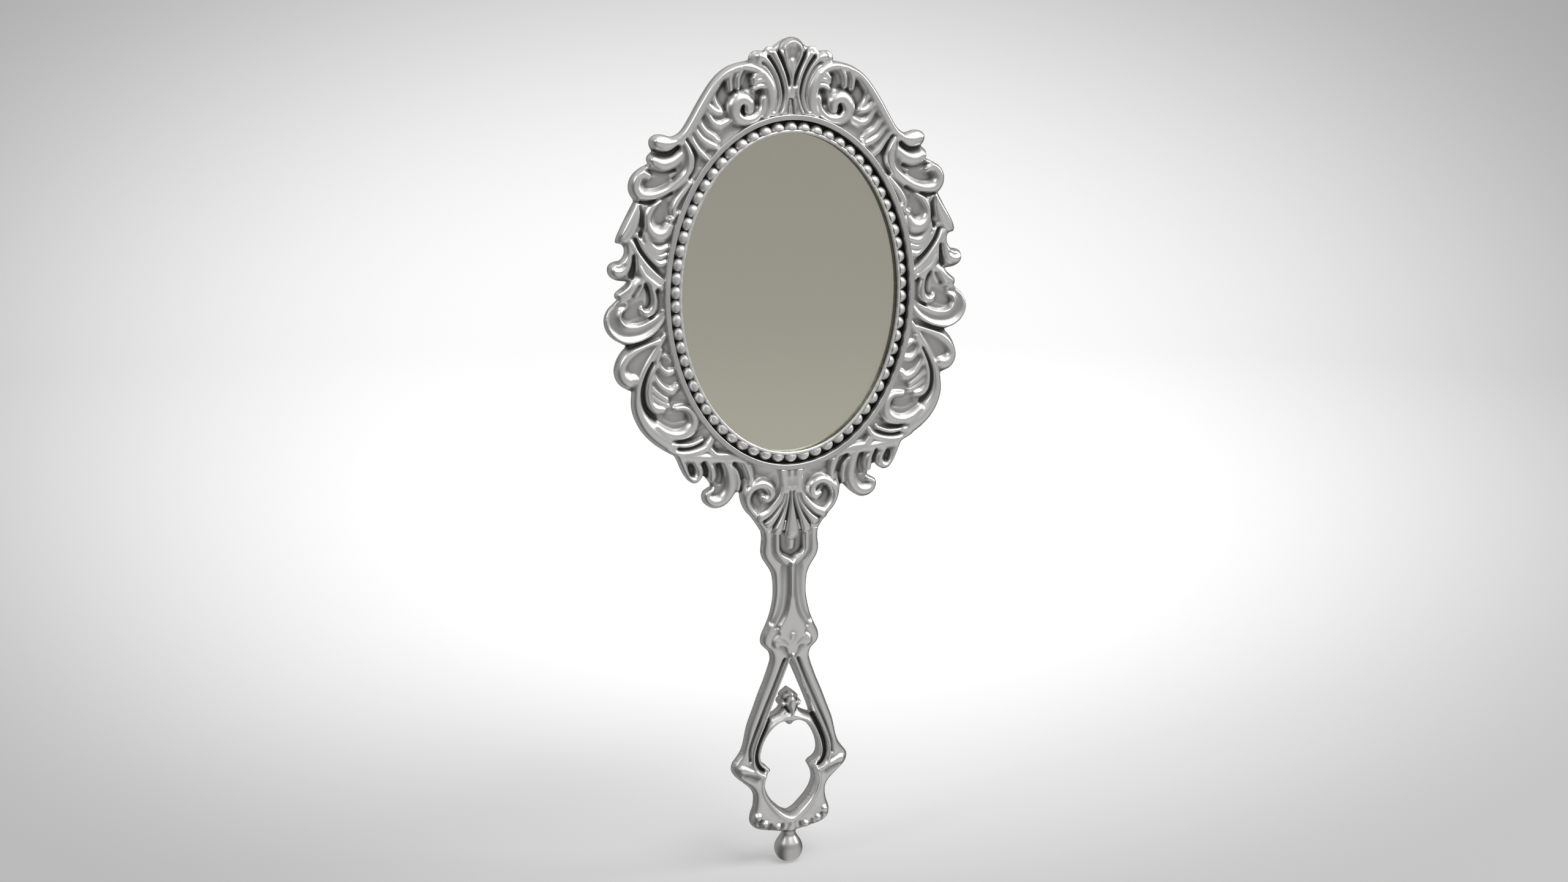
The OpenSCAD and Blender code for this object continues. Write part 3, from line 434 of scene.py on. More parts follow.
def draw_shell(r):
    """The ribbed shell over the neck: ribs that widen downwards from a short waisted stem."""
    r.ridge([[0, 126, 3.6], [0, 122.4, 3], [0, 119, 2.5], [0, 116, 2.2]], lift=-2.5, top=flat_top)
    r.ridge([[3.2, 126, 0.7], [2.5, 122.4, 0.7], [2.2, 119.4, 0.6]], lift=-0.6)
    r.ridge([[2.2, 119.4, 0.5], [3, 116.4, 0.7], [4.8, 113.6, 1], [7.1, 111.4, 1.2], [9.7, 110.2, 1.3]],
            lift=-0.5)
    r.ridge([[1.7, 118.4, 0.5], [2.7, 114.8, 0.8], [4.8, 111.5, 1.1], [7.3, 108.6, 1.45]], lift=-0.5)
    r.ridge([[0.9, 118.4, 0.5], [1.5, 114.4, 0.7], [2.9, 110.4, 1.2], [4.6, 106.4, 1.65]], lift=-0.5)
    r.ridge([[0, 118.4, 0.3], [0, 114, 0.6], [0, 110, 1.3], [0, 107, 1.9], [0, 105.3, 2.2]], lift=-0.65)
    r.settle()
    for rib in ([[0.5, 117.6, 0.05], [0.8, 114.5, 0.15], [1.5, 111, 0.25], [2.3, 107.6, 0.3],
                 [2.8, 104.4, 0.3]],
                [[1.5, 117, 0.05], [2.1, 114.2, 0.1], [3.5, 111, 0.2], [5, 108.4, 0.25], [6.5, 106, 0.3]],
                [[2.3, 117, 0.05], [3, 114.8, 0.1], [4.7, 112.5, 0.2], [6.8, 110.3, 0.25],
                 [9, 108.8, 0.3]]):
        r.groove(rib, 1.3)
    r.groove([[1.1, 126, 0.15], [1, 123.8, 0.1], [0.9, 122.4, 0.05]], 0.7)
    r.height = blurred(r.height - r.cuts, SOFTEN)


def cushion(edge):
    """The softly domed body that the handle and the foot of the head share."""
    inward = np.clip(-edge / 3.0, 0, 1)
    return 1.45 * np.sqrt(1 - (1 - inward) ** 2)


def draw_handle(r, edge):
    """The handle: a cushioned shaft with a framed panel, a leaf, a pointed arch and a scalloped foot."""
    r.height = cushion(edge)
    # framed panel: a ridge round a pocket, with a tongue in it
    r.rise([[4.7, 108, 0.75], [4.7, 101.6, 0.75], [4.5, 99.4, 0.75], [3.2, 97.6, 0.75], [1.4, 96.4, 0.75],
            [0, 95.4, 0.8]], 0.5)
    r.groove([[6.1, 108, 0.3], [6.1, 100.4, 0.35], [5.4, 98, 0.35], [3.7, 96, 0.3], [2.2, 94.8, 0.2]], 0.75)
    r.groove([[2.7, 94.4, 0.9], [2.9, 91, 1.3], [3.1, 86, 1.4], [4.1, 81, 1.3], [5.9, 77.4, 0.9]], 0.75)
    # leaf that opens from the stem
    leaf = spline([[0, 86.5], [0.9, 85], [1.4, 82], [2.3, 79.4], [3.6, 77.4], [4.4, 76.4]]).tolist()
    leaf += [[4.2, 75.7], [4.9, 75.1], [4.2, 74.2], [4.3, 73.6]]
    leaf += spline([[5, 73.3], [6.1, 72.2], [6.4, 70.9], [5.7, 69.8], [4.4, 69.3]]).tolist()
    leaf += [[3.9, 70], [2.8, 70]]
    leaf += spline([[2.1, 69.4], [1.7, 67.8], [0.8, 66.6], [0, 66]]).tolist()
    base = r.height.copy()
    r.layer([[-x, z] for x, z in leaf[::-1]] + leaf, 0.8, 0.6)
    leafed = r.height
    r.height = base
    r.rise([[0, 95.6, 0.9], [0, 92, 0.75], [0, 86, 0.75]], 0.8)
    r.height = np.maximum(r.height, leafed)
    r.groove([[1.7, 94.4, 0.5], [1.6, 90, 0.55], [1.7, 86, 0.55], [2.4, 81.4, 0.5], [4, 77.6, 0.45],
              [5.3, 75.8, 0.4]], 0.6)
    r.groove([[1.6, 70.6, 0.2], [2.9, 71.9, 0.25], [4.2, 72.6, 0.2]], 0.4)
    r.rise([[0, 73.2, 1], [0, 72.4, 1]], 0.6)
    r.rise([[4.9, 71.3, 0.9], [5.2, 71, 0.9]], 0.3)
    # borders of the openings
    r.rise([[0, 66.8, 0.9], [1.4, 63.6, 0.8], [2.9, 59.7, 0.8], [4.9, 54.8, 0.8], [7.1, 49.8, 0.8],
            [9.3, 45.5, 0.75], [11.2, 41, 0.7], [12.3, 37.5, 0.7], [12.4, 34, 0.7], [11.5, 31.5, 0.7],
            [10, 30.3, 0.7], [8.8, 29.4, 0.7]], 0.9)
    r.rise([[8.6, 28.9, 0.8], [8.9, 27, 0.85], [8.9, 24.8, 0.85], [7.9, 22, 0.9], [6, 19, 0.9],
            [3.5, 16.3, 0.95], [1.2, 14.7, 1], [0, 14.4, 1.1]], 0.8)
    r.rise([[0, 47.2, 1.6], [1.2, 47, 1.4], [2.6, 46.6, 1], [5, 45.5, 0.8], [7.3, 43, 0.75],
            [9.2, 39.2, 0.7], [10, 36, 0.7], [9.8, 33.3, 0.7], [8.6, 31.8, 0.7], [7.1, 30.9, 0.6]], 1.1)
    r.groove([[7.3, 46.6, 0.5], [9.4, 42, 0.65], [10.8, 38, 0.7], [11.1, 34.6, 0.7], [10.1, 32.1, 0.6],
              [8.8, 31, 0.45]], 1.9)
    r.groove([[2.2, 65.6, 0.3], [2.8, 64.2, 0.4], [4.3, 60.4, 0.45], [6.4, 55.4, 0.45], [8.4, 50.8, 0.5],
              [10.2, 46.4, 0.5], [12, 41.8, 0.5], [13.2, 38, 0.5], [13.2, 34.6, 0.4]], 1.15)
    # side lobes
    r.rise([[10, 29.2, 0.8], [12, 30.5, 1], [14.4, 31.5, 1.2], [16, 31.9, 1.6]], 1)
    r.groove([[11.8, 28.4, 1], [13.4, 29, 1.3], [15, 29.6, 1]], 0.45)
    # bud on the arch: a diamond between two side leaves
    r.rise([[0, 49, 1], [0, 51.4, 1.9], [0, 53.6, 1.1]], 1.5)
    r.rise([[2.6, 51.2, 0.9], [2.9, 51.6, 0.8]], 1.1)
    r.rise([[0, 54.8, 0.8], [0, 55, 0.8]], 0.9)
    r.groove([[0.4, 53.9, 0.3], [1.5, 52.7, 0.35], [2, 51.4, 0.35], [1.4, 49.8, 0.35], [0.5, 48.6, 0.3]], 1)
    # scalloped foot
    for x, z, size in ((11.2, 16, 1.3), (9, 13.5, 1.2), (4.8, 12.1, 1.1)):
        r.rise([[x, z, size], [x - 0.5, z + 0.5, size * 0.8]], 1.1)
    r.rise([[0, 13.2, 0.5], [0, 11.9, 1.4], [0, 11.2, 1.6]], 0.8)
    for x, z in ((10, 14.9), (6.8, 13.2), (2.9, 12.9)):
        r.groove([[x, z, 0.5], [x + 0.4, z - 1.4, 0.5]], 0.8)
    r.height = np.maximum(r.height - r.cuts, LOWEST)
    panel = outline_field(r, [np.array([[-3.9, 107], [-3.9, 99.7], [-2.9, 98.2], [0, 96.7], [2.9, 98.2],
                                        [3.9, 99.7], [3.9, 107]])])
    r.height *= ramp(panel, -0.35, 0.1)
    r.ridge([[0, 104, 1.2], [0, 102, 1.1], [0, 100.4, 0.9]], lift=-0.4)
    r.height = blurred(r.height, SOFTEN)


# ---------------------------------------------------------------- from relief to mesh

def outline_loops(node, y_plane, tolerance=0.02):
    """Closed outlines, in millimetres, of the flat face that a CAD node has on one plane of y."""
    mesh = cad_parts[node].data
    points = np.array([v.co for v in mesh.vertices]) / MM
    keys = [tuple(np.round(p, 3)) for p in points]
    on_plane = np.abs(points[:, 1] - y_plane) < tolerance
    following = {}
    for face in mesh.polygons:
        corners = list(face.vertices)
        if not on_plane[corners].all():
            continue
        for a, b in zip(corners, corners[1:] + corners[:1]):
            if following.get(keys[b]) and keys[a] in following[keys[b]]:
                following[keys[b]].remove(keys[a])
            else:
                following.setdefault(keys[a], []).append(keys[b])
    loops = []
    while any(following.values()):
        start = next(k for k, v in following.items() if v)
        loop = [start]
        here = following[start].pop()
        while here != start and following.get(here):
            loop.append(here)
            here = following[here].pop()
        loops.append(np.array(loop)[:, [0, 2]])
    return sorted(loops, key=lambda p: -np.ptp(p[:, 1]))


def outline_field(relief, loops, reach=OUTLINE_REACH):
    """Signed distance to the outlines over a relief's grid: negative inside, cut off at reach."""
    distance = np.full(relief.height.shape, reach)
    inside = np.zeros(relief.height.shape, bool)
    for loop in loops:
        for a, b in zip(loop, np.roll(loop, -1, axis=0)):
            where = relief.near(np.array([a, b]), reach)
            x = relief.x[where[0]][:, None]
            z = relief.z[where[1]][None, :]
            along = b - a
            length2 = max(along @ along, 1e-9)
            t = np.clip(((x - a[0]) * along[0] + (z - a[1]) * along[1]) / length2, 0, 1)
            gap = np.hypot(x - a[0] - t * along[0], z - a[1] - t * along[1])
            distance[where] = np.minimum(distance[where], gap)
            if a[1] != b[1]:
                rows = (relief.z >= min(a[1], b[1])) & (relief.z < max(a[1], b[1]))
                crossing = a[0] + (relief.z[rows] - a[1]) * along[0] / along[1]
                inside[:, rows] ^= relief.x[:, None] < crossing[None, :]
    return np.where(inside, -distance, distance)


def oval_field(x, z, axes):
    """Signed distance to an oval round the middle of the glass, near enough close to its line."""
    scaled = np.hypot(x / axes[0], (z - OVAL_Z) / axes[1])
    slope = np.hypot(x / axes[0] ** 2, (z - OVAL_Z) / axes[1] ** 2)
    return (scaled - 1) * scaled / np.maximum(slope, 1e-6)


def mirrored(field, sign=1):
    """The whole field from its right half; the middle column is not doubled."""
    return np.vstack([sign * field[:0:-1], field])


def make_object(name, vertices_mm, faces, body="root"):
    mesh = bpy.data.meshes.new(name)
    mesh.from_pydata((np.asarray(vertices_mm) * MM).tolist(), [], faces)
    mesh.update()
    for polygon in mesh.polygons:
        polygon.use_smooth = len(polygon.vertices) <= 4   # flat ends stay flat
    piece = bpy.data.objects.new(name, mesh)
    bpy.context.scene.collection.objects.link(piece)
    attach(piece, body)
    return piece


def without_pinches(cells):
    """Fills one cell wherever two cells would touch at a corner only."""
    cells = cells.copy()
    for _ in range(3):
        rising = cells[:-1, :-1] & cells[1:, 1:] & ~cells[1:, :-1] & ~cells[:-1, 1:]
        falling = ~cells[:-1, :-1] & ~cells[1:, 1:] & cells[1:, :-1] & cells[:-1, 1:]
        cells[1:, :-1] |= rising
        cells[:-1, :-1] |= falling
    return cells


def plate(name, relief, edge, front_y, back_y, recess, outline=None, back_outline=None, body="root"):
    """A closed casting: front and back surfaces over the cells inside the edge, joined by rounded walls.

    edge is the signed distance to the outline; front_y and back_y are depths; recess (0 to 1) says how
    dark the front is coloured: tarnish in the hollows and painted shade in the crevices. All are fields over
    the relief's right half. The front corners are rounded along outline and the back ones along back_outline,
    where they are given."""
    x = np.concatenate([-relief.x[:0:-1], relief.x])
    z = relief.z
    edge, front, back, recess = (mirrored(f) for f in (edge, front_y, back_y, recess))
    node_in = edge < 0.3 * CELL
    cells = node_in[:-1, :-1] & node_in[1:, :-1] & node_in[:-1, 1:] & node_in[1:, 1:]
    cells = without_pinches(cells)
    used = np.zeros(edge.shape, bool)
    full = np.ones(edge.shape, bool)
    padded = np.pad(cells, 1)
    for di in (0, 1):
        for dj in (0, 1):
            touching = padded[di:di + edge.shape[0], dj:dj + edge.shape[1]]
            used |= touching
            full &= touching
    rim = used & ~full
    if outline is not None:
        outline = mirrored(outline)
        back_outline = mirrored(back_outline)
        for field in (outline, back_outline):
            field[rim & (field > -1.5 * CELL)] = 0
        front = front + rounded_edge(outline, *FRONT_ROUND)
        back = back - rounded_edge(back_outline, *BACK_ROUND)
    slope_x, slope_z = np.gradient(edge, CELL)
    steep = np.maximum(np.hypot(slope_x, slope_z), 0.5)
    shift = np.clip(-edge, -CELL, CELL) * rim
    grid_x = x[:, None] + shift * slope_x / steep
    grid_z = z[None, :] + shift * slope_z / steep

    number = np.full(edge.shape, -1)
    number[used] = np.arange(used.sum())
    count = int(used.sum())
    top = np.column_stack([grid_x[used], front[used], grid_z[used]])
    bottom = np.column_stack([grid_x[used], back[used], grid_z[used]])
    i, j = np.nonzero(cells)
    quads = np.column_stack([number[i, j], number[i + 1, j], number[i + 1, j + 1], number[i, j + 1]])

    # the wall: each rim edge, seen from the front with the casting on its left
    walls = []
    for (di, dj), (p, q) in {(0, -1): ((0, 0), (1, 0)), (1, 0): ((1, 0), (1, 1)),
                             (0, 1): ((1, 1), (0, 1)), (-1, 0): ((0, 1), (0, 0))}.items():
        open_side = cells & ~padded[1 + di:1 + di + cells.shape[0], 1 + dj:1 + dj + cells.shape[1]]
        a, b = np.nonzero(open_side)
        walls.append(np.column_stack([number[a + p[0], b + p[1]], number[a + q[0], b + q[1]]]))
    walls = np.vstack(walls)
    rim_ids = np.unique(walls)
    levels = 4
    layers = [top, bottom]
    lookup = [np.arange(count)]
    for level in range(1, levels):
        part = level / levels
        ring = top[rim_ids] * (1 - part) + bottom[rim_ids] * part
        start = sum(len(layer) for layer in layers)
        layers.append(ring)
        table = np.full(count, -1)
        table[rim_ids] = start + np.arange(len(rim_ids))
        lookup.append(table)
    lookup.append(np.arange(count) + count)
    faces = [quads, quads[:, ::-1] + count]
    for upper, lower in zip(lookup[:-1], lookup[1:]):
        faces.append(np.column_stack([upper[walls[:, 1]], upper[walls[:, 0]],
                                      lower[walls[:, 0]], lower[walls[:, 1]]]))
    vertices = np.vstack(layers)
    piece = make_object(name, vertices, np.vstack(faces).tolist(), body)
    steep = np.ptp(front[used][quads], axis=1) > STEP
    square = np.zeros(count, bool) if outline is None else (rim & (outline < -0.4))[used]
    square = square[walls].all(axis=1)
    smooth = np.concatenate([~steep, np.ones(len(quads), bool)] + [~square] * levels)
    piece.data.polygons.foreach_set("use_smooth", smooth)
    shade = np.full(len(vertices), 0.25)
    shade[:count] = recess[used]
    attribute = piece.data.attributes.new("recess", "FLOAT", "POINT")
    attribute.data.foreach_set("value", shade.astype(np.float32))
    return piece


def rounded_edge(edge, width, drop):
    """How far a surface falls away near its outline."""
    inward = np.clip(-edge / width, 0, 1)
    return drop * (1 - inward) ** 2


def recesses(height):
    """0 on the ridges, towards 1 in the crevices: how far a place lies below its surroundings."""
    near = blurred(height, 0.7) - height
    wide = blurred(height, 2.0) - height
    return np.clip(0.1 + 0.84 * near + 0.42 * wide, 0, 1)


def sweep_oval(name, profile, closed=True, segments=256, body="root"):
    """A ring swept round the glass. profile rows are [distance outside the glass's edge, y]."""
    turn = np.linspace(0, 2 * math.pi, segments, endpoint=False)
    rings = []
    for offset, y in profile:
        rings.append(np.column_stack([(GLASS_AXES[0] + offset) * np.cos(turn), np.full(segments, y),
                                      OVAL_Z + (GLASS_AXES[1] + offset) * np.sin(turn)]))
    vertices = np.vstack(rings)
    faces = []
    steps = len(profile) if closed else len(profile) - 1
    for k in range(steps):
        a = k * segments
        b = (k + 1) % len(profile) * segments
        for s in range(segments):
            n = (s + 1) % segments
            faces.append((a + s, b + s, b + n, a + n))
    if not closed:
        faces.append(tuple(range(segments)))
        faces.append(tuple(range((len(profile) - 1) * segments, len(profile) * segments))[::-1])
    return make_object(name, vertices, faces, body)


def rounded_bar(left, right, front, back, radius, steps=5):
    """The outline of a bar with rounded corners, as [offset, y] rows."""
    rows = []
    for cx, cy, start in ((left + radius, front + radius, 180), (right - radius, front + radius, 270),
                          (right - radius, back - radius, 0), (left + radius, back - radius, 90)):
        for s in range(steps + 1):
            a = math.radians(start + 90 * s / steps)
            rows.append([cx + radius * math.cos(a), cy + radius * math.sin(a)])
    return rows


def revolve(name, profile, segments=96, body="root"):
    """A body turned about the z axis. profile rows are [radius, z] from bottom pole to top pole."""
    turn = np.linspace(0, 2 * math.pi, segments, endpoint=False)
    inner = profile[1:-1]
    rings = [np.column_stack([r * np.cos(turn), r * np.sin(turn), np.full(segments, z)]) for r, z in inner]
    vertices = np.vstack([[[0, 0, profile[0][1]]]] + rings + [[[0, 0, profile[-1][1]]]])
    faces = []
    for s in range(segments):
        n = (s + 1) % segments
        faces.append((0, 1 + n, 1 + s))
        for k in range(len(inner) - 1):
            a = 1 + k * segments
            faces.append((a + s, a + n, a + segments + n, a + segments + s))
        last = 1 + (len(inner) - 1) * segments
        faces.append((last + s, last + n, len(vertices) - 1))
    return make_object(name, vertices, faces, body)


# ---------------------------------------------------------------- pieces

def shell_seat(relief):
    """0 where the neck shell sits on the ground, 1 beside it."""
    ground = box_mm("neck_shell")[1][1]
    return ramp(outline_field(relief, outline_loops("neck_shell", ground)), -0.9, -0.1)


def build_head():
    """The cast head: ornament in front, a shallower echo of it behind, openings for glass and tongue."""
    low, high = box_mm("head_casting")
    relief = Relief(high[0] + 2, low[2] - 1, high[2] + 2)
    draw_head(relief)
    x, z = relief.x[:, None], relief.z[None, :]
    edge = outline_field(relief, outline_loops("head_casting", BACK_Y)[:1])
    side = 0.83 * (x - 9.4 - 0.67 * (z - JOINT_Z))
    foot = ramp(-z, -111.5, -107.5) * cushion(side) * shell_seat(relief)
    relief.height = np.maximum(relief.height, foot)
    notch = np.maximum(np.maximum(JOINT_Z - z, z - TONGUE_TOP_Z - 1), x - 6)
    edge = np.minimum(edge, notch)
    hole = -oval_field(x, z, BEZEL_AXES + 0.06)
    band = oval_field(x, z, BAND_AXES - 0.3)
    front = np.where(band < 0, CHANNEL_Y, GROUND_Y - relief.height)
    echo = BACK_ECHO * blurred(relief.height, 0.5) / RIDGE_MAX
    border = ramp(-edge, 0.2, 1.2) * ramp(oval_field(x, z, COVER_AXES + 1.2), 0, 0.8)
    back = BACK_Y - BACK_ECHO + echo * border
    seat = oval_field(x, z, COVER_AXES + 0.15)
    back = np.where(seat < 0, box_mm("back_cover")[0][1] + 0.02, back)
    slot = np.maximum(x - 5.1, z - TONGUE_TOP_Z - 0.1)
    back = np.where(slot < 0, BACK_Y - 3.05, back)
    # recess mask for the front: tarnish and painted shade in the hollows; the bead channel's floor is painted
    # fully dark, as shade under the beads
    shade = np.where(band < 0, 1.0, recesses(relief.height))
    outline = np.where(z < JOINT_Z + 2.2, side, np.where(slot < 0.8, -OUTLINE_REACH, edge))
    return plate("head", relief, np.maximum(edge, hole), front, back, shade, outline, outline)


def build_applied(name, node, draw, base):
    """A casting that sits on the ground, the crest or the neck shell: a relief on a plate base thick."""
    low, high = box_mm(node)
    relief = Relief(high[0] + 3, low[2] - 3, high[2] + 3)
    draw(relief)
    x, z = relief.x[:, None], relief.z[None, :]
    edge = np.maximum(relief.edge, -oval_field(x, z, BAND_AXES + 0.1))
    front = GROUND_Y - base - relief.height
    back = np.full(relief.height.shape, GROUND_Y + 0.05)
    return plate(name, relief, edge, front, back, recesses(relief.height))


def build_handle():
    low, high = box_mm("handle_casting")
    rows = math.ceil((JOINT_Z - low[2] + 1) / CELL)
    relief = Relief(high[0] + 2, JOINT_Z - rows * CELL, high[2] + 1)
    x, z = relief.x[:, None], relief.z[None, :]
    loops = outline_loops("handle_casting", BACK_Y)
    edge = outline_field(relief, loops)
    open_end = x - 9.2 + 0.13 * (JOINT_Z - z)
    rounded = np.where(z > JOINT_Z - 2.2, open_end, edge)
    draw_handle(relief, rounded)
    height = relief.height * shell_seat(relief)
    tongue = z > JOINT_Z + 0.1
    front = np.where(tongue, BACK_Y - 3, GROUND_Y - height)
    echo = BACK_ECHO * blurred(height, 0.5) / RIDGE_MAX
    back = np.where(tongue, BACK_Y - 0.02, BACK_Y - BACK_ECHO + echo * ramp(-edge, 0.2, 1.2))
    outline = np.where(tongue, -OUTLINE_REACH, rounded)
    outer = np.where(z > JOINT_Z - 2.2, outline, outline_field(relief, loops[:1]))
    return plate("handle", relief, edge, front, back, recesses(height), outline, outer)


# ---------------------------------------------------------------- materials

class Nodes:
    """A short way to write a node tree: each call adds a node and links its inputs."""

    def __init__(self, name):
        self.material = bpy.data.materials.new(name)
        self.material.use_nodes = True
        self.tree = self.material.node_tree
        self.surface = self.tree.nodes["Principled BSDF"]

    def add(self, kind, settings=None, **inputs):
        node = self.tree.nodes.new(kind)
        for key, value in (settings or {}).items():
            setattr(node, key, value)
        for key, value in inputs.items():
            self.put(node.inputs[int(key[1:]) if key[1:].isdigit() else key.replace("_", " ")], value)
        return node.outputs[0]

    def put(self, socket, value):
        if isinstance(value, bpy.types.NodeSocket):
            self.tree.links.new(value, socket)
        else:
            socket.default_value = value

    def math(self, operation, a, b=0.0, clamp=False):
        return self.add("ShaderNodeMath", {"operation": operation, "use_clamp": clamp}, i0=a, i1=b)

    def spread(self, value, low, high, new_low=0.0, new_high=1.0):
        return self.add("ShaderNodeMapRange", {"interpolation_type": "SMOOTHSTEP"}, Value=value,
                        From_Min=low, From_Max=high, To_Min=new_low, To_Max=new_high)

    def mix(self, factor, a, b):
        node = self.tree.nodes.new("ShaderNodeMix")
        node.data_type = "RGBA"
        self.put(node.inputs["Factor"], factor)
        for socket, value in zip([s for s in node.inputs if s.type == "RGBA"], (a, b)):
            self.put(socket, value)
        return next(s for s in node.outputs if s.type == "RGBA")

    def place(self, scale=(1, 1, 1)):
        """Position in metres in the row frame, scaled."""
        where = self.add("ShaderNodeNewGeometry")
        return self.add("ShaderNodeVectorMath", {"operation": "MULTIPLY"}, i0=where, i1=scale)

    def noise(self, vector, scale, detail=3.0):
        return self.add("ShaderNodeTexNoise", Vector=vector, Scale=scale, Detail=detail)

    def length(self, vector):
        return self.add("ShaderNodeVectorMath", {"operation": "LENGTH"}, i0=vector).node.outputs["Value"]

    def bump(self, height, distance, strength=1.0):
        return self.add("ShaderNodeBump", Height=height, Distance=distance, Strength=strength)

    def finish(self, **inputs):
        for key, value in inputs.items():
            self.put(self.surface.inputs[key.replace("_", " ")], value)
        return self.material


def cast_silver():
    """Polished silver, lightest on the rubbed ridges and darker towards black in the recesses that the recess
    attribute marks: tarnish in the hollows, and painted shade where crevices and steep sides would lie in
    shadow.
    """
    n = Nodes("cast silver")
    recess = n.add("ShaderNodeAttribute", {"attribute_name": "recess"})
    cloud = n.noise(n.place(), 140.0)
    depth = n.math("ADD", recess, n.math("MULTIPLY", n.math("SUBTRACT", cloud, 0.5), 0.14))
    # painted shade and tarnish: the colour darkens with the recess mask, to mid grey and then towards black in
    # the crevices
    worn_and_shaded = n.mix(n.spread(depth, 0.05, 0.34), (0.93, 0.925, 0.91, 1), (0.58, 0.575, 0.565, 1))
    color = n.mix(n.spread(depth, 0.28, 0.85), worn_and_shaded, (0.08, 0.08, 0.079, 1))
    return n.finish(Base_Color=color, Metallic=1.0, Roughness=n.spread(depth, 0.05, 0.6, 0.34, 0.5))


def bright_silver():
    """Frosted, light silver for the beads and the bezel, mottled with fine wear."""
    n = Nodes("bright silver")
    cloud = n.noise(n.place(), 900.0)
    fine = n.noise(n.place(), 4000.0, 2.0)
    color = n.mix(n.spread(cloud, 0.35, 0.7), (0.95, 0.945, 0.93, 1), (0.74, 0.735, 0.72, 1))
    return n.finish(Base_Color=color, Metallic=0.75, Roughness=n.spread(fine, 0.3, 0.7, 0.36, 0.5),
                    Normal=n.bump(fine, 0.00003, 0.25))


def smooth_silver():
    """Evenly polished silver, slightly frosted, for the finial."""
    n = Nodes("smooth silver")
    cloud = n.noise(n.place(), 260.0)
    return n.finish(Base_Color=n.mix(cloud, (0.80, 0.795, 0.78, 1), (0.70, 0.695, 0.68, 1)), Metallic=1.0,
                    Roughness=n.spread(cloud, 0.3, 0.7, 0.3, 0.38))


def satin_silver():
    """Matte, finely blasted silver of the band and the back cover, with faint long scratches."""
    n = Nodes("satin silver")
    grain = n.noise(n.place(), 5200.0, 2.0)
    cloud = n.noise(n.place(), 90.0)
    scratch = n.noise(n.place((1.0, 1.0, 0.06)), 4200.0, 1.0)
    color = n.mix(n.spread(cloud, 0.3, 0.7), (0.76, 0.755, 0.74, 1), (0.66, 0.655, 0.64, 1))
    height = n.math("ADD", grain, n.math("MULTIPLY", scratch, 0.6))
    return n.finish(Base_Color=color, Metallic=1.0, Roughness=n.spread(grain, 0.3, 0.7, 0.36, 0.5),
                    Normal=n.bump(height, 0.00004, 0.6))


def tarnish_and_shade_black():
    """Near-black silver in the bottom of the bead channel: tarnish, and painted shade in the gaps between the
    beads.
    """
    n = Nodes("black silver")
    cloud = n.noise(n.place(), 700.0)
    return n.finish(Base_Color=n.mix(cloud, (0.03, 0.03, 0.03, 1), (0.012, 0.012, 0.012, 1)), Metallic=1.0,
                    Roughness=0.5)


def turned_steel():
    n = Nodes("turned steel")
    lines = n.noise(n.place(), 6000.0, 1.0)
    return n.finish(Base_Color=(0.6, 0.6, 0.62, 1), Metallic=1.0, Roughness=n.spread(lines, 0.3, 0.7, 0.25, 0.4),
                    Normal=n.bump(lines, 0.00002, 0.5))


def clear_glass():
    n = Nodes("clear glass")
    haze = n.noise(n.place(), 60.0)
    return n.finish(Base_Color=(1, 1, 1, 1), Roughness=n.spread(haze, 0.3, 0.8, 0.0, 0.012),
                    IOR=1.5, Transmission_Weight=1.0)


def silvering():
    """The mirror coat, slightly warm."""
    n = Nodes("silvering")
    cloud = n.noise(n.place(), 14.0)
    color = n.mix(cloud, (0.86, 0.822, 0.69, 1), (0.83, 0.794, 0.665, 1))
    return n.finish(Base_Color=color, Metallic=1.0, Roughness=0.03)


def matte(name, color, scale, depth, sheen=0.0):
    """A soft, unpolished surface with a grain of the given scale."""
    n = Nodes(name)
    grain = n.noise(n.place(), scale)
    darker = tuple(c * 0.6 for c in color[:3]) + (1,)
    return n.finish(Base_Color=n.mix(grain, color, darker), Roughness=0.85, Sheen_Weight=sheen,
                    Normal=n.bump(grain, depth))


def paint(piece, material):
    piece.data.materials.clear()
    piece.data.materials.append(material)


def oval_positions(axes, count):
    """Evenly spaced angles round an oval, by arc length, starting at its top."""
    angle = np.linspace(0, 2 * math.pi, 4001)
    steps = np.hypot(axes[0] * np.diff(np.cos(angle)), axes[1] * np.diff(np.sin(angle)))
    length = np.concatenate([[0], np.cumsum(steps)])
    start = length[1000]
    wanted = (start + np.arange(count) * length[-1] / count) % length[-1]
    return np.interp(wanted, length, angle)


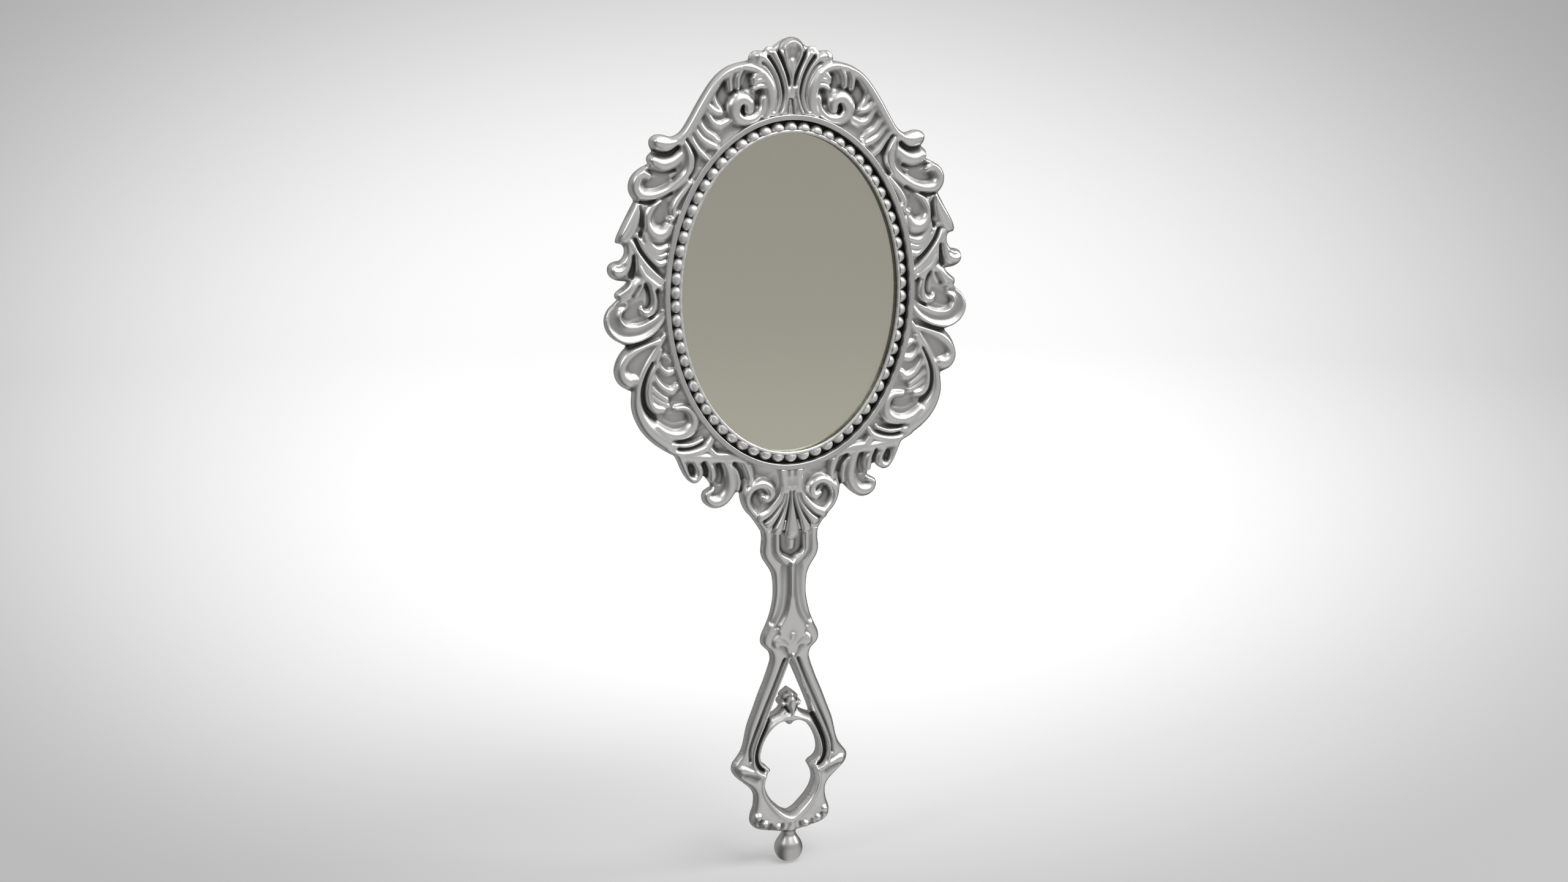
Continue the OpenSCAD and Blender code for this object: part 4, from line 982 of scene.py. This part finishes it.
def build_beads():
    """Cast bead wire: domes that grow out from under the bezel, in the channel round the glass."""
    rows, columns = 18, 30
    axes = BEZEL_AXES + BEAD_OUT
    turn = np.linspace(0, 2 * math.pi, columns, endpoint=False)
    ball = [[0, -1, 0]]
    for row in range(1, rows):
        tilt = math.pi * row / rows
        ball += [[math.sin(tilt) * math.cos(t), -math.cos(tilt), math.sin(tilt) * math.sin(t)] for t in turn]
    ball = BEAD_R * np.array(ball + [[0, 1, 0]])
    last = len(ball) - 1
    faces = []
    for c in range(columns):
        d = (c + 1) % columns
        faces.append((0, 1 + c, 1 + d))
        for row in range(rows - 2):
            p = 1 + row * columns
            faces.append((p + c, p + columns + c, p + columns + d, p + d))
        p = 1 + (rows - 2) * columns
        faces.append((p + c, last, p + d))
    vertices = []
    all_faces = []
    domed = []
    for a in oval_positions(axes, BEAD_COUNT):
        outward = np.array([math.cos(a) / axes[0], 0, math.sin(a) / axes[1]])
        outward /= np.linalg.norm(outward)
        inside = np.minimum(ball @ outward + BEAD_OUT - 0.03, 0)
        bead = ball - inside[:, None] * outward
        bead += [axes[0] * math.cos(a), BEAD_Y, OVAL_Z + axes[1] * math.sin(a)]
        bead[:, 1] = np.minimum(bead[:, 1], CHANNEL_Y - 0.05)
        all_faces += [tuple(i + len(vertices) for i in face) for face in faces]
        domed += [any(inside[i] == 0 for i in face) for face in faces]
        vertices += bead.tolist()
    beads = make_object("beads", vertices, all_faces)
    beads.data.polygons.foreach_set("use_smooth", domed)
    return beads


def build_bead_strip():
    """The thin strip that joins the beads, near black in the bottom of the channel as tarnish and painted shade.
    """
    low = BEZEL_AXES[0] - GLASS_AXES[0] + 0.06
    high = BAND_AXES[0] - GLASS_AXES[0] - BAND_WIDTH - 0.06
    back = box_mm("bead_ring")[1][1]
    return sweep_oval("bead_strip", rounded_bar(low, high, back - 0.3, back, 0.12))


def build_bezel():
    """The lip over the glass and the skirt beside it."""
    low, high = box_mm("glass_bezel")
    outer = BEZEL_AXES[0] - GLASS_AXES[0]
    inner = outer - LIP_WIDTH
    lip_back = box_mm("mirror_glass")[0][1] - 0.03
    turn = [math.radians(a) for a in range(180, 361, 15)]
    crown = [[(inner + outer) / 2 + LIP_WIDTH / 2 * math.cos(a), low[1] + 0.4 + 0.4 * math.sin(a)]
             for a in turn]
    profile = crown + [[outer, high[1]], [outer - 0.2, high[1]], [outer - 0.2, lip_back], [inner, lip_back]]
    return sweep_oval("bezel", profile)


def build_band():
    low, high = box_mm("rim_band")
    outer = BAND_AXES[0] - GLASS_AXES[0]
    return sweep_oval("band", rounded_bar(outer - BAND_WIDTH, outer, low[1], high[1], 0.32))


def build_glass():
    """A flat plate with a narrow ground bevel round its front edge."""
    low, high = box_mm("mirror_glass")
    back = high[1] - 0.03
    profile = [[-0.1, low[1]], [0, low[1] + 0.1], [0, back - 0.15], [-0.15, back]]
    return sweep_oval("glass", profile, closed=False)


def build_back_cover():
    """The cover: a flat rim for the screws and a raised panel with a soft shoulder and a bead line."""
    low, high = box_mm("back_cover")
    rim = COVER_AXES[0] - GLASS_AXES[0]
    flat = low[1] + 0.95   # just under the heads of the screws
    panel = high[1]
    inner = rim - 5
    profile = [[rim - 0.25, low[1]], [rim, low[1] + 0.25], [rim, flat - 0.3], [rim - 0.3, flat],
               [inner + 1.1, flat], [inner + 0.5, flat - 0.12], [inner, flat + 0.1], [inner - 0.5, panel - 0.1],
               [inner - 1.1, panel], [inner - 3.2, panel], [inner - 3.5, panel - 0.25],
               [inner - 3.8, panel - 0.25], [inner - 4.1, panel]]
    return sweep_oval("cover", profile, closed=False)


def build_finial():
    """The drop under the handle, with a small collar at its neck."""
    top = box_mm("finial")[1][2]
    radius = box_mm("finial")[1][0] - 0.2
    drop = [[0, 0], [0.8, 0.05], [1.9, 0.3], [3.3, 1.2], [4.1, 2.6], [radius, 4.2], [4.05, 5.9],
            [3.2, 7.4], [2.5, 8.5], [2.25, 9.2], [2.3, top]]
    curve = spline([[r, z] for r, z in drop], 0.3)
    profile = np.vstack([curve, [[0, top]]])
    return revolve("finial_drop", [tuple(p) for p in profile])


def build_object():
    cast, bright, satin, steel = cast_silver(), bright_silver(), satin_silver(), turned_steel()
    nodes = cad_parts
    for piece, node, material, slot in (
            (build_head(), "head_casting", cast, "cast_silver"),
            (build_applied("crest", "crest_palmette", draw_crest, 0.25), "crest_palmette", cast, "cast_silver"),
            (build_applied("shell", "neck_shell", draw_shell, 1.3), "neck_shell", cast, "cast_silver"),
            (build_handle(), "handle_casting", cast, "cast_silver"),
            (build_band(), "rim_band", satin, "satin_silver"),
            (build_beads(), "bead_ring", bright, "bright_silver"),
            (build_bezel(), "glass_bezel", bright, "bright_silver"),
            (build_glass(), "mirror_glass", clear_glass(), "clear_glass"),
            (build_back_cover(), "back_cover", satin, "satin_silver"),
            (build_finial(), "finial", smooth_silver(), "cast_silver")):
        paint(piece, material)
        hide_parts(node)
    strip = build_bead_strip()
    paint(strip, tarnish_and_shade_black())
    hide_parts("bead_ring")
    for node in ("crest_pins", "shell_pins", "cover_screws", "joint_screws", "finial_stud"):
        paint(nodes[node], steel)
    paint(nodes["edge_gasket"], matte("gasket", (0.04, 0.04, 0.04, 1), 900.0, 0.0001))
    paint(nodes["mirror_silvering"], silvering())
    paint(nodes["mirror_backing_paint"], matte("backing paint", (0.28, 0.3, 0.32, 1), 600.0, 0.00005))
    paint(nodes["cushion_felt"], matte("felt", (0.16, 0.12, 0.2, 1), 2200.0, 0.0003, 0.6))
    paint(nodes["backing_board"], matte("board", (0.5, 0.4, 0.28, 1), 700.0, 0.0001))


# ---------------------------------------------------------------- studio

def backdrop():
    """White for the camera, with painted shade darkening the corners; for reflections and bounce light a grey
    room that glows with painted light, with a pool on the floor near the object and more light to the front and
    above.
    """
    n = Nodes("backdrop")
    window = n.tree.nodes.new("ShaderNodeTexCoord").outputs["Window"]
    # painted vignette: the camera's backdrop glows from SEEN_BRIGHT in the middle to SEEN_DARK in the corners,
    # with real lit shading added
    out = n.add("ShaderNodeVectorMath", {"operation": "SUBTRACT"}, i0=window, i1=(0.475, 0.575, 0))
    away = n.length(n.add("ShaderNodeVectorMath", {"operation": "MULTIPLY"}, i0=out, i1=(2, 2, 0)))
    tone = n.spread(away, 0.3, 1.45, SEEN_BRIGHT, SEEN_DARK)
    glow = n.add("ShaderNodeEmission", Color=tone, Strength=SEEN_GLOW)
    lit = n.add("ShaderNodeBsdfDiffuse", Color=n.math("MULTIPLY", tone, SEEN_LIT))
    seen = n.add("ShaderNodeAddShader", i0=glow, i1=lit)

    # painted room light, seen only in reflections and bounce light: dim at the sides, brighter in front and
    # behind, with a painted pool of light on the floor near the object and more light higher up
    where = n.place((1, 1, 0))
    radius = n.length(where)
    ahead = n.add("ShaderNodeVectorMath", {"operation": "NORMALIZE"}, i0=where)
    split = n.add("ShaderNodeSeparateXYZ", Vector=ahead)
    toward = n.math("ADD", n.math("MULTIPLY", split, 0.36),
                    n.math("MULTIPLY", split.node.outputs[1], -0.93))
    painted_floor_pool = n.math("EXPONENT", n.math("MULTIPLY", n.math("POWER", n.math("DIVIDE", radius, 1.3), 2.0), -1.0))
    front = n.math("ADD", n.math("MULTIPLY", painted_floor_pool, ROOM_FLOOR), ROOM_FRONT - ROOM_SIDE)
    front = n.math("MULTIPLY", front, n.spread(toward, 0.0, 0.97))
    room = n.math("ADD", front, n.spread(toward, -0.9, -0.2, ROOM_BACK, ROOM_SIDE))
    height = n.add("ShaderNodeSeparateXYZ", Vector=n.place()).node.outputs[2]
    room = n.math("ADD", room, n.spread(height, 0.5, 1.6, 0.0, ROOM_HIGH))
    # the glowing room: painted light for reflections and bounce light
    felt = n.add("ShaderNodeEmission", Color=room)
    camera = n.tree.nodes.new("ShaderNodeLightPath").outputs["Is Camera Ray"]
    surface = n.add("ShaderNodeMixShader", i0=camera, i1=felt, i2=seen)
    n.put(n.tree.nodes["Material Output"].inputs["Surface"], surface)
    return n.material


def build_floor():
    """A round pale floor that curves up into a wall all round."""
    floor, bend, height = 1.1, 0.6, 2.3
    profile = [(0.3, 0.0), (0.7, 0.0), (floor, 0.0)]
    for step in range(1, 13):
        a = math.radians(90 * step / 12)
        profile.append((floor + bend * math.sin(a), bend * (1 - math.cos(a))))
    profile.append((floor + bend, height))
    count = 96
    vertices = [(r * math.cos(math.tau * i / count), r * math.sin(math.tau * i / count), z)
                for r, z in profile for i in range(count)]
    faces = [(k * count + i, (k + 1) * count + i, (k + 1) * count + (i + 1) % count, k * count + (i + 1) % count)
             for k in range(len(profile) - 1) for i in range(count)]
    faces.append(tuple(range(count)))
    mesh = bpy.data.meshes.new("bowl")
    mesh.from_pydata(vertices, [], faces)
    mesh.shade_smooth()
    mesh.materials.append(backdrop())
    bowl = bpy.data.objects.new("bowl", mesh)
    bpy.context.scene.collection.objects.link(bowl)


def aim(thing, target):
    from mathutils import Vector
    direction = Vector(target) - thing.location
    thing.rotation_euler = direction.to_track_quat("-Z", "Y").to_euler()


def soft_light(name, place, target, size, power, color=(1, 1, 1)):
    light = bpy.data.lights.new(name, "AREA")
    light.shape = "RECTANGLE"
    light.size, light.size_y = size
    light.energy = power
    light.color = color
    holder = bpy.data.objects.new(name, light)
    holder.location = place
    bpy.context.scene.collection.objects.link(holder)
    aim(holder, target)


def build_light():
    middle = (0, 0, 0.15)
    soft_light("top", (0.30, -0.48, 1.05), middle, (0.75, 0.45), 6.2)
    soft_light("right", (1.0, -0.25, 0.75), middle, (0.3, 0.5), 3.5)
    soft_light("left", (-0.9, -0.3, 0.9), middle, (0.25, 0.4), 1.5)
    world = bpy.data.worlds.new("studio")
    bpy.context.scene.world = world
    world.use_nodes = True
    world.node_tree.nodes["Background"].inputs["Color"].default_value = (0.5, 0.5, 0.5, 1)
    bpy.context.scene.view_settings.view_transform = "Standard"


def build_camera():
    """A normal lens a little above and to the left of the front, level."""
    camera = bpy.data.cameras.new("camera")
    camera.sensor_width = 36
    camera.lens = 47.71
    camera.clip_start = 0.01
    holder = bpy.data.objects.new("camera", camera)
    holder.location = (-0.2180, -0.5665, 0.2516)
    bpy.context.scene.collection.objects.link(holder)
    forward = (0.3504, 0.9165, -0.1930)
    aim(holder, [p + d for p, d in zip(holder.location, forward)])
    bpy.context.scene.camera = holder


build_object()
build_floor()
build_light()
build_camera()
